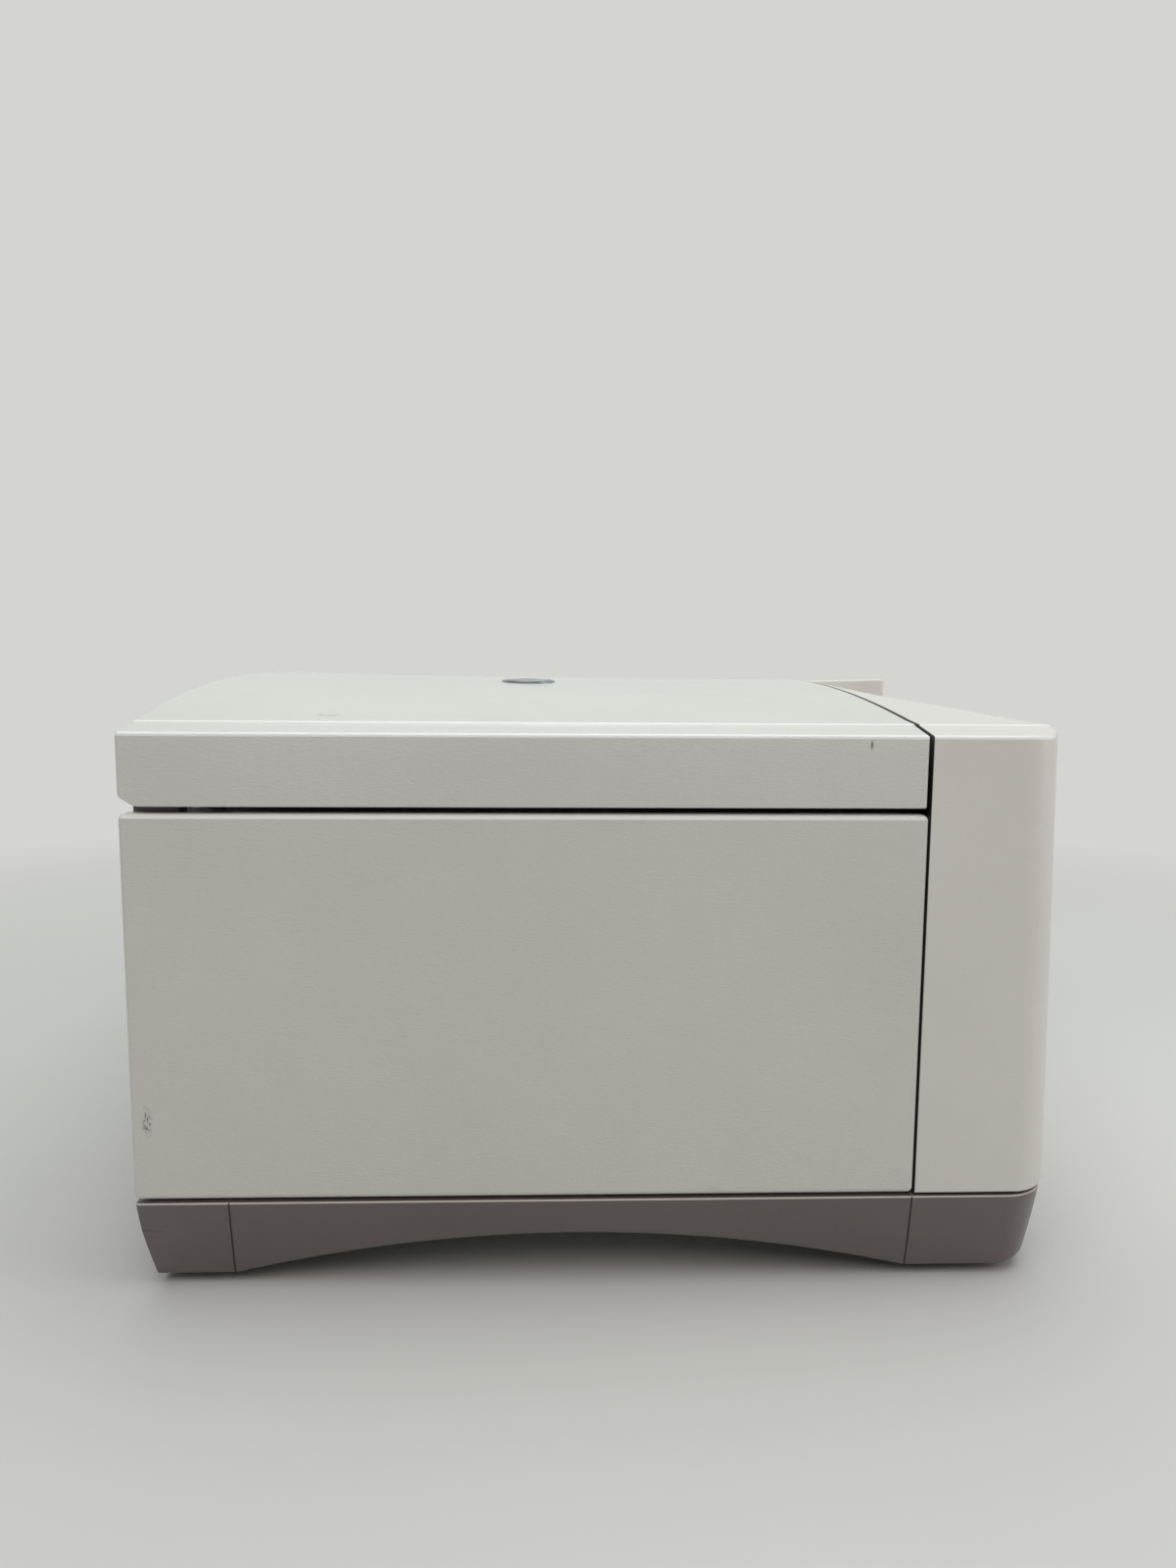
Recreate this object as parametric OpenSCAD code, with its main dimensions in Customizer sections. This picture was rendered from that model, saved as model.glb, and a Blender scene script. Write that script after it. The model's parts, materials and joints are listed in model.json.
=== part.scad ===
// Refrigerated bench centrifuge for microplates, millimetres.
// +X points to the front, +Y to the cooling side, +Z up. The origin is at the middle of the footprint.

/* [Housing] */
// Overall width, across the machine
body_width = 640; // [600:10:700]
// Overall depth, from the back to the console's face
body_depth = 550; // [530:5:600]
// Height of the level top edge at both sides
edge_height = 310; // [304:1:330]
// Rise of the crowned top over the side edges, at the back
crown_rear = 27; // [22:1:32]
// Rise of the crowned top at the seam of the front
crown_seam = 23.6; // [18:0.1:30]
// Rise of the crowned top at the front edge
crown_front = 9.4; // [7:0.1:14]
// Width of the steeper shoulder along each side edge
shoulder_width = 26; // [18:1:40]
// Rise of the shoulder
shoulder_rise = 5.6; // [4:0.1:8]
// Rise of the top's own edge over the side edges
edge_rise = 1.3; // [0.5:0.1:2]
// Depth of the moulded front
front_depth = 82; // [76:1:95]
// How far the console stands forward of the moulded front
console_reach = 36; // [30:1:44]
// Outward lean of the moulded front from top to bottom
front_lean = 5.5; // [2:0.5:8]
// Plan radius of the front corners
front_corner_r = 24; // [20:1:30]
// Plan radius of the plinth's front corners
plinth_corner_r = 28; // [24:1:28]
// Height of the top of the plinth
base_top = 52; // [50:1:60]
// Height of the plinth's lower edge over the bench
base_clear = 6; // [5:0.5:8]
// How far the plinth draws in from top to bottom
base_lean = 8.5; // [5:0.5:9]
// Length of the plinth's rear end piece
base_end = 51; // [40:1:70]
// Rise of the arch under each side
arch_rise = 24.4; // [16:0.2:26]
// Gap between plinth and panels
base_gap = 1.8; // [1:0.1:3]
// Wall of the moulded plastic covers
wall = 3; // [2.5:0.1:4]
// Thickness of the sheet metal
sheet_t = 1.5; // [1:0.1:2]
// Outer bend radius of the side panels
bend_r = 3; // [2.5:0.1:4]
// Width of the side panels' bent flanges
flange = 9; // [8:1:10]

/* [Lid] */
// Height of the lid's skirt
lid_skirt = 38; // [36:1:44]
// Gap between the lid and the side panel
lid_gap = 3.7; // [3:0.1:5]
// Gap between lid, front and fixed top cover
seam_gap = 2; // [1.4:0.1:3]
// Opening angle of the lid
lid_open = 70; // [60:1:75]
// Diameter of the viewing window
window_d = 40; // [36:1:50]
// How far the window's rim stands over the lid
window_proud = 2.8; // [2:0.1:4]
// Distance of the hinge axis from the back
hinge_inset = 15; // [14:0.5:18]
// Radius of the hinge pins
hinge_pin_r = 4; // [3:0.5:5]

/* [Rotor] */
// Rotor axis, distance from the back
rotor_from_rear = 211; // [206:1:220]
// Rotor axis, distance from the left side
rotor_from_left = 235; // [230:1:245]
// Length of a microplate
plate_length = 127.8; // [127:0.1:129]
// Width of a microplate
plate_width = 85.5; // [85:0.1:87]
// Play round a plate in its bucket
plate_play = 0.8; // [0.6:0.1:1.5]
// Distance of the bucket pivots from the rotor axis
pivot_radius = 80; // [78:1:84]
// Height of the bucket pivots
pivot_height = 203; // [200:1:206]
// Depth of a bucket below its pivots
bucket_drop = 60; // [50:1:64]
// Height of the bucket's end walls over the pivots
bucket_ears = 13; // [11:1:16]
// Radius of the bucket pivots
trunnion_r = 5; // [4:0.5:6]
// Gap between the swung buckets and the bowl
bowl_gap = 11; // [8:0.5:14]
// Radius of the drive shaft
shaft_r = 8; // [7:0.5:9]
// Radial running clearance of shafts and pins
running_gap = 0.05; // [0.03:0.01:0.08]

/* [Cooling] */
// Radius of the compressor's can
compressor_r = 58; // [50:1:60]
// Height of the compressor's can
compressor_h = 165; // [140:5:180]
// Tip radius of the condenser fan
fan_r = 70; // [60:1:74]
// Number of fan blades
fan_blade_count = 7; // [5:1:9]
// Turns of the evaporator tube
coil_turns = 6; // [4:1:7]
// Radius of the evaporator tube
coil_tube_r = 3.2; // [2.5:0.1:3.5]

/* [Controls] */
// Width of the display window
display_w = 96; // [80:1:110]
// Height of the display window
display_h = 44; // [36:1:50]
// Width of a push key
key_w = 26; // [20:1:28]
// Height of a push key
key_h = 13; // [10:1:15]
// Travel of a push key
key_travel = 0.8; // [0.5:0.1:1]
// Gap round each key
key_gap = 0.3; // [0.25:0.05:0.4]

/* [Hidden] */
$fn = 64;
eps = 0.01;
fit_gap = 0.3;

// Main planes
rear_x = -body_depth / 2;
console_x = body_depth / 2;
half_w = body_width / 2;
left_y = -half_w;
right_y = half_w;
front_x = console_x - console_reach;
seam_x = front_x - front_depth;
front_start = seam_x + 0.7;
lid_front = seam_x - 1.3;
rotor_x = rear_x + rotor_from_rear;
rotor_y = left_y + rotor_from_left;
lid_right = rotor_y + rotor_from_left;
cover_left = lid_right + seam_gap;
panel_bottom = base_top + base_gap;
lid_bottom = edge_height - lid_skirt;
panel_top = lid_bottom - lid_gap;
deck_top = panel_top - sheet_t;
deck_bottom = deck_top - 2;
floor_top = base_top - 11;
floor_bottom = floor_top - 3;
inner_y = half_w - bend_r - fit_gap;
rear_panel_x = rear_x + 2.4;
inner_x = rear_panel_x + sheet_t;
bay_front = seam_x - 4;

// Crowned top. Across the machine it is a curve between the two shoulders. The power says how
// full the curve is: full at the back, a plain arc at the seam, nearly straight at the front.
ACROSS = 28;
ALONG = 6;
power_rear = 2.7;
power_seam = 2;
power_front = 1.3;

function share_back(x) = max(0, (seam_x - x) / (seam_x - rear_x));
function share_front(x) = (x - seam_x) / front_depth;
function rise_at(x) = x <= seam_x
    ? crown_seam + (crown_rear - crown_seam) * pow(share_back(x), 3)
    : crown_seam + (crown_front - crown_seam) * share_front(x);
function power_at(x) = x <= seam_x
    ? power_seam + (power_rear - power_seam) * pow(share_back(x), 2)
    : power_seam + (power_front - power_seam) * share_front(x);
function crown_z(y, rise, power) = let (chord = half_w - shoulder_width) abs(y) > chord
    ? edge_height + edge_rise
        + (shoulder_rise - edge_rise) * (half_w - abs(y)) / shoulder_width
    : edge_height + shoulder_rise
        + (rise - shoulder_rise) * (1 - pow(abs(y) / chord, power));
function lid_z(x, y) = crown_z(y, rise_at(x), power_at(x));
// The console's top keeps the crown of the seam and climbs slightly to the front
console_climb = 3;
function console_z(x, y) = lid_z(seam_x, y)
    + console_climb * (x - seam_x) / (console_x - seam_x);

function across_steps(y0, y1) = let (
    shoulder = half_w - shoulder_width,
    inside = [for (i = [1 : ACROSS - 1]) -shoulder + 2 * shoulder * i / ACROSS],
    all = concat([-shoulder], inside, [shoulder])
) concat([y0], [for (y = all) if (y > y0 + 0.5 && y < y1 - 0.5) y], [y1]);
function along_steps(x0, x1, n) = [for (i = [0 : n]) x0 + (x1 - x0) * i / n];

// Closed block between a flat underside and a crowned top, lowered by drop
module crowned_block(x0, x1, y0, y1, z0, drop, n, on_console = false) {
    xs = along_steps(x0, x1, n);
    ys = across_steps(y0, y1);
    nx = len(xs);
    ny = len(ys);
    half = nx * ny;
    top = [for (x = xs) for (y = ys) [x, y, (on_console ? console_z(x, y) : lid_z(x, y)) - drop]];
    low = [for (x = xs) for (y = ys) [x, y, z0]];
    cells = [for (i = [0 : nx - 2]) for (j = [0 : ny - 2]) i * ny + j];
    upper = [for (c = cells) each [[c, c + 1, c + ny + 1], [c, c + ny + 1, c + ny]]];
    lower = [for (f = upper) [f[2] + half, f[1] + half, f[0] + half]];
    edge = concat(
        [for (j = [0 : ny - 2]) [j, j + 1]],
        [for (i = [0 : nx - 2]) [i * ny + ny - 1, (i + 1) * ny + ny - 1]],
        [for (j = [ny - 1 : -1 : 1]) [(nx - 1) * ny + j, (nx - 1) * ny + j - 1]],
        [for (i = [nx - 1 : -1 : 1]) [i * ny, (i - 1) * ny]]
    );
    sides = [for (e = edge) each [[e[0], e[0] + half, e[1] + half], [e[0], e[1] + half, e[1]]]];
    polyhedron(concat(top, low), concat(upper, lower, sides));
}

module box_between(a, b) {
    translate(a) cube(b - a);
}

// Bar of section set out in X and Z, running along Y from y0 to y1
module along_y(y0, y1) {
    translate([0, y1, 0]) rotate([90, 0, 0]) linear_extrude(height = y1 - y0) children();
}

module rod_y(x, y0, y1, z, r) {
    translate([x, y1, z]) rotate([90, 0, 0]) cylinder(h = y1 - y0, r = r);
}

module rod_x(x0, x1, y, z, r) {
    translate([x0, y, z]) rotate([0, 90, 0]) cylinder(h = x1 - x0, r = r);
}

// Plinth section: u runs outward from 0 at the top edge, v is the height. The face is a flat
// arc that leans in from the top edge on.
base_height = base_top - base_clear;
base_slope = atan(base_lean / base_height);
base_start = 0.75 * base_slope;
base_arc_r = norm([base_height, base_lean]) / 2 / sin(base_slope - base_start);
base_arc_u = -base_arc_r * cos(base_start);
base_arc_v = base_top + base_arc_r * sin(base_start);
base_flange = 9;
rear_corner_r = 9.5;
BASE_STEPS = 512;

// How far the plinth's inner wall lies in from its outline at a height
function base_inner(v) = -base_arc_u - sqrt(pow(base_arc_r - wall, 2) - pow(v - base_arc_v, 2));

module base_section() {
    intersection() {
        translate([-base_flange, base_clear]) square([base_flange, base_height]);
        difference() {
            translate([base_arc_u, base_arc_v]) circle(r = base_arc_r, $fn = BASE_STEPS);
            intersection() {
                translate([base_arc_u, base_arc_v]) circle(r = base_arc_r - wall, $fn = BASE_STEPS);
                translate([-base_flange - 1, 0]) square([base_flange + 2, base_top - wall]);
            }
        }
    }
}

// Straight run along +X with its outer face towards -Y
module base_run(x0, x1) {
    translate([x0, left_y, 0]) rotate([90, 0, 90]) linear_extrude(height = x1 - x0) mirror([1, 0])
        base_section();
}

// Quarter corner about the origin, from start by 90 degrees
module base_corner(r, start) {
    rotate([0, 0, start]) rotate_extrude(angle = 90, $fn = 96) translate([r, 0]) base_section();
}

// Run across the machine with its outer face towards dir * X
module base_across(x, dir, y0, y1) {
    translate([x, 0, 0]) rotate([90, 0, 0]) translate([0, 0, -y1]) linear_extrude(height = y1 - y0)
        scale_x(dir) base_section();
}

module scale_x(dir) {
    if (dir < 0) {
        mirror([1, 0]) children();
    } else {
        children();
    }
}

module both_sides() {
    children();
    mirror([0, 1, 0]) children();
}

// Arch: one large circle that cuts the plinth's lower edge between its two ends
base_joint = rear_x + base_end;
arch_half = (seam_x - base_joint) / 2 - 1;
arch_mid = (seam_x + base_joint) / 2;
arch_r = (arch_half * arch_half + arch_rise * arch_rise) / (2 * arch_rise);
joint_gap = 0.5;

module base_side() {
    color("#7a7068") difference() {
        base_run(base_joint + joint_gap, seam_x - joint_gap);
        along_y(left_y - 1, left_y + base_flange + 4)
            translate([arch_mid, base_clear + arch_rise - arch_r]) circle(r = arch_r, $fn = 256);
    }
}

module base_skirt_left() {
    base_side();
}

module base_skirt_right() {
    mirror([0, 1, 0]) base_side();
}

module base_skirt_rear() {
    color("#7a7068") {
        both_sides() {
            base_run(rear_x + rear_corner_r, base_joint);
            translate([rear_x + rear_corner_r, left_y + rear_corner_r, 0]) base_corner(rear_corner_r, 180);
        }
        base_across(rear_x, -1, left_y + rear_corner_r, right_y - rear_corner_r);
    }
}

// Places of the feet and of the plinth's clips on the floor plate
plate_in = 12.5;
foot_r = 19;
foot_in_x = 62;
foot_in_y = 64;
clip_gap = 0.5;
clip_lip = 2;
clip_start = base_inner(base_top - wall - clip_lip) + fit_gap;
clip_t = 3;
clip_half = 12;

// Drip tray, its hole in the front plinth and its runners under the floor plate
tray_w = 98;
tray_y1 = right_y - foot_in_y - foot_r - 12;
tray_y0 = tray_y1 - tray_w;
tray_lip = 4;
tray_lip_t = 2;
tray_z0 = base_clear + 6;
tray_z1 = floor_bottom - 3;
tray_front = front_x - 1.5;
tray_back = rotor_x + 120;
tray_gap = 0.4;
tray_travel = 120;
runner_front = front_x - 24;
lip_front = front_x - base_inner(tray_z1 - tray_lip_t) - tray_gap - tray_travel;

module base_skirt_front() {
    color("#7a7068") difference() {
        union() {
            both_sides() {
                base_run(seam_x, front_x - plinth_corner_r);
                translate([front_x - plinth_corner_r, left_y + plinth_corner_r, 0])
                    base_corner(plinth_corner_r, 270);
            }
            base_across(front_x, 1, left_y + plinth_corner_r, right_y - plinth_corner_r);
        }
        box_between(
            [front_x - 20, tray_y0 - tray_gap, tray_z0 - tray_gap],
            [front_x + 5, tray_y1 + tray_gap, tray_z1 + tray_gap]
        );
    }
}

// Angle that holds one lip of the tray from below
module tray_runner(y, dir) {
    web = y - dir * (tray_lip + 0.6);
    low = tray_z1 - tray_lip_t - fit_gap - sheet_t;
    box_between(
        [tray_back, min(web, web - dir * sheet_t), low],
        [runner_front, max(web, web - dir * sheet_t), floor_bottom]
    );
    box_between(
        [tray_back, min(web, y - dir * 0.5), low],
        [runner_front, max(web, y - dir * 0.5), low + sheet_t]
    );
}

module tray_runners() {
    color("#8f9498") {
        tray_runner(tray_y0, 1);
        tray_runner(tray_y1, -1);
    }
}

module drip_tray() {
    color("#6d645c") difference() {
        union() {
            box_between([tray_back, tray_y0, tray_z0], [tray_front - base_lean, tray_y1, tray_z1]);
            box_between(
                [tray_back, tray_y0 - tray_lip, tray_z1 - tray_lip_t],
                [lip_front, tray_y1 + tray_lip, tray_z1]
            );
            along_y(tray_y0, tray_y1) intersection() {
                translate([tray_front - base_lean - wall, tray_z0])
                    square([base_lean + wall, tray_z1 - tray_z0]);
                translate([tray_front + base_arc_u, base_arc_v])
                    circle(r = base_arc_r, $fn = BASE_STEPS);
            }
        }
        box_between(
            [tray_back + wall, tray_y0 + wall, tray_z0 + wall],
            [tray_front - base_lean - wall, tray_y1 - wall, tray_z1 + 1]
        );
    }
}

// Floor plate, stepped in from the plinth, and its four feet
module floor_outline() {
    box_between(
        [rear_x + plate_in, left_y + plate_in, floor_bottom],
        [front_x - plate_in, right_y - plate_in, floor_top]
    );
}

// Angle clips that carry the plinth from the floor plate
module plinth_clip(x) {
    box_between(
        [x - clip_half, left_y + plate_in, floor_top],
        [x + clip_half, left_y + plate_in + clip_t, base_top - wall]
    );
    box_between(
        [x - clip_half, left_y + clip_start, base_top - wall - clip_lip],
        [x + clip_half, left_y + plate_in + clip_t, base_top - wall]
    );
}

module end_clip(x, dir, y) {
    x0 = x - dir * plate_in;
    box_between(
        [min(x0, x0 - dir * clip_t), y - clip_half, floor_top],
        [max(x0, x0 - dir * clip_t), y + clip_half, base_top - wall]
    );
    x1 = x - dir * clip_start;
    box_between(
        [min(x1, x0), y - clip_half, base_top - wall - clip_lip],
        [max(x1, x0), y + clip_half, base_top - wall]
    );
}

module chassis_plate() {
    color("#8f9498") difference() {
        union() {
            floor_outline();
            both_sides() {
                for (x = [rear_x + 30, base_joint + 40, seam_x - 40, seam_x + 20]) plinth_clip(x);
            }
            for (y = [-200, 0, 200]) {
                end_clip(rear_x, -1, y);
                end_clip(front_x, 1, y - 40);
            }
        }
        for (a = damper_angles) damper_at(a) cylinder(h = 60, r = damper_stud_r, center = true);
    }
}

module foot() {
    cylinder(h = 12, r1 = foot_r - 3, r2 = foot_r, $fn = 48);
    translate([0, 0, 12]) cylinder(h = floor_bottom - 12, r = foot_r, $fn = 48);
}

module rubber_feet() {
    color("#1d1d1f") both_sides() {
        for (x = [rear_x + foot_in_x, front_x - foot_in_x])
            translate([x, left_y + foot_in_y, 0]) foot();
    }
}

// Side panels: a sheet bent inward along the top and bottom, with end flanges
module bent_section() {
    h = panel_top - panel_bottom;
    difference() {
        bent_outline(0, h, bend_r);
        bent_outline(sheet_t, h, bend_r);
        translate([flange, -1]) square([flange * 2, h + 2]);
    }
}

module bent_outline(inset, h, r) {
    c = max(r - inset, 0.5);
    for (v = [inset + c, h - inset - c]) translate([inset + c, v]) circle(r = c, $fn = 32);
    translate([inset, inset + c]) square([2 * flange, h - 2 * inset - 2 * c]);
    translate([inset + c, inset]) square([2 * flange, h - 2 * inset]);
}

module side_sheet() {
    translate([rear_x, left_y, panel_bottom]) rotate([90, 0, 90]) linear_extrude(height = seam_x - rear_x)
        bent_section();
    for (x = [rear_x, seam_x - sheet_t])
        box_between(
            [x, left_y + sheet_t - eps, panel_bottom + sheet_t],
            [x + sheet_t, left_y + (x < 0 ? 4 : flange), panel_top - sheet_t]
        );
}

module side_panel_left() {
    color("#b9b6af") side_sheet();
}

louvre_w = 84;
louvre_h = 4;
louvre_rows = 12;
louvre_pitch = 13;

module slot_through_y(x, z) {
    along_y(right_y - 2 * sheet_t - 1, right_y + 1) {
        translate([x - louvre_w / 2, z - louvre_h / 2]) square([louvre_w, louvre_h]);
        for (s = [-1, 1]) translate([x + s * louvre_w / 2, z]) circle(r = louvre_h / 2, $fn = 24);
    }
}

module side_panel_right() {
    color("#b9b6af") difference() {
        mirror([0, 1, 0]) side_sheet();
        for (i = [0 : louvre_rows - 1])
            for (s = [-1, 1])
                slot_through_y(
                    fan_x + s * (louvre_w / 2 + 8),
                    fan_z + (i - (louvre_rows - 1) / 2) * louvre_pitch
                );
    }
}

// Back
inlet_y = cover_left + 60;
inlet_z = floor_top + 46;
inlet_w = 48;
inlet_h = 28;
switch_y = inlet_y + inlet_w / 2 + 11;
switch_w = 15;
switch_h = 21;
module_y0 = inlet_y - inlet_w / 2;
module_y1 = switch_y + switch_w / 2 + 4;
module_rim = 3;
screw_r = 2;
screw_head_r = 4;
screw_head_h = 2;
screw_l = 4;
rear_in = 5;
rear_fit = 0.1;
rear_screw_y = [-half_w + 20, -half_w * 0.34, half_w * 0.34, half_w - 20];

module rear_panel() {
    color("#b9b6af") difference() {
        box_between(
            [rear_panel_x, left_y + rear_in, panel_bottom + sheet_t + rear_fit],
            [inner_x, right_y - rear_in, panel_top - sheet_t - rear_fit]
        );
        box_between(
            [rear_x - 1, module_y0 - 0.1, inlet_z - inlet_h / 2 - 0.1],
            [inner_x + 1, module_y1 + 0.1, inlet_z + inlet_h / 2 + 0.1]
        );
        for (i = [0 : 7])
            box_between(
                [rear_x - 1, cover_left + 26, inlet_z + 50 + i * louvre_pitch],
                [inner_x + 1, right_y - 34, inlet_z + 50 + i * louvre_pitch + louvre_h]
            );
        rear_screw_places() rod_x(-1, 8, 0, 0, screw_r);
    }
}

module rear_screw_places() {
    for (y = rear_screw_y)
        for (z = [panel_bottom + 12, panel_top - 12]) translate([rear_panel_x, y, z]) children();
}

module panel_screws() {
    color("#c9ccce") rear_screw_places() difference() {
        union() {
            rod_x(-screw_head_h, 0, 0, 0, screw_head_r);
            rod_x(-eps, screw_l, 0, 0, screw_r);
        }
        translate([-screw_head_h, 0, 0]) rotate([0, 90, 0])
            cylinder(h = screw_head_h, r = screw_r - 0.6, $fn = 6, center = true);
    }
}

// Inlet with three flat pins and the frame of the switch, in one moulding
socket_w = 26;
socket_h = 19;
pin_depth = 8;
module_depth = 22;
switch_axis_x = rear_panel_x + 2.6;
switch_axle_r = 0.9;

module mains_inlet() {
    back = inner_x + module_depth;
    color("#17181a") difference() {
        union() {
            box_between(
                [rear_x + 0.6, module_y0 - module_rim, inlet_z - inlet_h / 2 - module_rim],
                [rear_panel_x, module_y1 + module_rim, inlet_z + inlet_h / 2 + module_rim]
            );
            box_between(
                [rear_panel_x - eps, module_y0, inlet_z - inlet_h / 2],
                [back, module_y1, inlet_z + inlet_h / 2]
            );
        }
        box_between(
            [rear_x - 1, inlet_y - socket_w / 2, inlet_z - socket_h / 2],
            [back - wall, inlet_y + socket_w / 2, inlet_z + socket_h / 2]
        );
        box_between(
            [rear_x - 1, switch_y - switch_w / 2, inlet_z - switch_h / 2],
            [back - wall, switch_y + switch_w / 2, inlet_z + switch_h / 2]
        );
        rod_y(
            switch_axis_x, switch_y - switch_w / 2 - 1.5, switch_y + switch_w / 2 + 1.5,
            inlet_z, switch_axle_r + running_gap
        );
    }
    color("#d8d4c0") for (p = [[-7, -2], [0, 3], [7, -2]])
        box_between(
            [rear_x + pin_depth, inlet_y + p[0] - 1, inlet_z + p[1] - 2.5],
            [back - wall + eps, inlet_y + p[0] + 1, inlet_z + p[1] + 2.5]
        );
}

// Rocker of the mains switch, tipped to its off side about its axle
switch_tip = 10;
rocker_front = 3.4;
rocker_dish_r = 27.5;

module mains_switch() {
    half_h = switch_h / 2 - 2;
    half_t = switch_w / 2 - 0.6;
    color("#26282b") translate([switch_axis_x, switch_y, inlet_z]) rotate([0, switch_tip, 0]) difference() {
        union() {
            box_between([-rocker_front, -half_t, -half_h], [6, half_t, half_h]);
            rod_y(0, -switch_w / 2 - 1.2, switch_w / 2 + 1.2, 0, switch_axle_r);
        }
        rod_y(0.9 - rocker_front - rocker_dish_r, -switch_w, switch_w, 0, rocker_dish_r);
    }
}

// Wall between the rotor bay and the cooling bay
partition_y = cover_left - seam_gap / 2;
partition_x = rear_x + base_flange + fit_gap;
pipe_r = 4;
compressor_z = floor_top + 10;
compressor_top = compressor_z + compressor_h;
pipe_rise = 5;
pipe_high_z = compressor_top + pipe_rise;
pipe_low_z = floor_top + 120;
pipe_x = rotor_x;

module partition_wall() {
    color("#a9adb0") difference() {
        union() {
            box_between(
                [partition_x, partition_y, floor_top],
                [bay_front, partition_y + sheet_t, deck_bottom]
            );
            box_between(
                [partition_x, partition_y, floor_top],
                [bay_front, partition_y + 12, floor_top + sheet_t]
            );
        }
        for (z = [pipe_high_z, pipe_low_z])
            rod_y(pipe_x, partition_y - 1, partition_y + 20, z, pipe_r + 0.6);
    }
}

// Bowl, its cooling tube and its foam, all about the rotor axis. The tube runs in straight
// lengths between corners, so its radius is set out for the middle of a length.
bucket_in_l = plate_length + plate_play;
bucket_in_w = plate_width + 2 * plate_play + 0.4;
bucket_wall = 2;
bucket_half_l = bucket_in_l / 2 + bucket_wall;
bucket_half_w = bucket_in_w / 2 + bucket_wall;
swing_reach = sqrt(bucket_half_w * bucket_half_w + bucket_drop * bucket_drop);
swing_r = sqrt(pow(pivot_radius + swing_reach, 2) + bucket_half_l * bucket_half_l);
bowl_r = swing_r + bowl_gap;
bowl_t = 1.5;
bowl_floor = pivot_height - swing_reach - 9;
bowl_corner = 18;
bowl_lip = 12;
coil_gap = 0.4;
COIL_SIDES = 6;
COIL_STEPS = 20;
coil_r = (bowl_r + bowl_t + coil_gap + coil_tube_r) / cos(180 / COIL_STEPS);
foam_in = coil_r + coil_tube_r + coil_gap;
foam_out = foam_in + 12;
foam_bottom = bowl_floor - bowl_t - 9;
shaft_hole_r = 18;
seal_h = lid_bottom + 2 - deck_top - bowl_t;
seal_lip_r = 2.4;
seal_r = bowl_r + bowl_t + seal_lip_r + 1.2;

module at_rotor() {
    translate([rotor_x, rotor_y, 0]) children();
}

module bowl_outline(grow) {
    r = bowl_r + grow;
    z = bowl_floor - grow;
    c = bowl_corner + grow;
    translate([0, z]) square([r - c, c]);
    translate([0, z + c]) square([r, deck_top - z - c + 10]);
    translate([r - c, z + c]) circle(r = c, $fn = 96);
}

module chamber_bowl() {
    color("#c4c8ca") at_rotor() rotate_extrude($fn = 128) {
        difference() {
            intersection() {
                bowl_outline(bowl_t);
                translate([shaft_hole_r, 0]) square([bowl_r + 10, deck_top + bowl_t]);
            }
            bowl_outline(0);
        }
        translate([bowl_r, deck_top]) square([bowl_lip + bowl_t, bowl_t]);
        translate([shaft_hole_r, bowl_floor - bowl_t]) square([2, 8]);
    }
}

module chamber_seal() {
    color("#2a2b2d") at_rotor() rotate_extrude($fn = 128) {
        translate([bowl_r + bowl_t + 1, deck_top + bowl_t]) square([2 * seal_lip_r + 0.2, 2]);
        translate([seal_r - seal_lip_r / 2, deck_top + bowl_t + 0.5]) square([seal_lip_r, seal_h - 3]);
        translate([seal_r, deck_top + bowl_t + seal_h - seal_lip_r - fit_gap])
            circle(r = seal_lip_r, $fn = 32);
    }
}

// Tube of six sides swept up a helix by a formula
coil_z0 = bowl_floor + bowl_corner + 6;
coil_z1 = deck_bottom - 12;

function coil_centre(t) = [coil_r * cos(360 * coil_turns * t), coil_r * sin(360 * coil_turns * t),
    coil_z0 + (coil_z1 - coil_z0) * t];

module evaporator_coil() {
    n = coil_turns * COIL_STEPS;
    pts = [for (i = [0 : n]) let (c = coil_centre(i / n), a = 360 * coil_turns * i / n)
        for (k = [0 : COIL_SIDES - 1]) let (b = 360 * k / COIL_SIDES)
            [
                c[0] + coil_tube_r * cos(b) * cos(a),
                c[1] + coil_tube_r * cos(b) * sin(a),
                c[2] + coil_tube_r * sin(b)
            ]];
    skin = [for (i = [0 : n - 1]) for (k = [0 : COIL_SIDES - 1])
        let (p = i * COIL_SIDES + k, q = i * COIL_SIDES + (k + 1) % COIL_SIDES)
            each [[p, p + COIL_SIDES, q + COIL_SIDES], [p, q + COIL_SIDES, q]]];
    ends = [[for (k = [0 : COIL_SIDES - 1]) k], [for (k = [COIL_SIDES - 1 : -1 : 0]) n * COIL_SIDES + k]];
    color("#b87a4b") at_rotor() polyhedron(pts, concat(skin, ends));
    echo(least_gap_between_turns = (coil_z1 - coil_z0) / coil_turns - 2 * coil_tube_r);
}

module bowl_insulation() {
    color("#3a3b3c") difference() {
        at_rotor() rotate_extrude($fn = 128) difference() {
            translate([motor_can_r + 6, foam_bottom])
                square([foam_out - motor_can_r - 6, deck_bottom - foam_bottom]);
            bowl_outline(bowl_t + coil_gap);
            translate([0, coil_z0 - coil_tube_r - 3]) square([foam_in, deck_top]);
        }
        for (z = [pipe_high_z, pipe_low_z])
            rod_y(pipe_x, rotor_y + bowl_r, partition_y + 20, z, pipe_r + 0.6);
    }
}

// Drive motor on three rubber dampers
motor_flange_r = 86;
motor_can_r = 60;
motor_base = floor_top + 10;
motor_top = foam_bottom - 3;
bearing_h = 12;
bearing_r = 17;
damper_r = 11;
damper_pcd_r = 72;
damper_stud_r = 4;
damper_angles = [30, 150, 270];

module damper_at(a) {
    at_rotor() rotate([0, 0, a]) translate([damper_pcd_r, 0, floor_top]) children();
}

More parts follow.
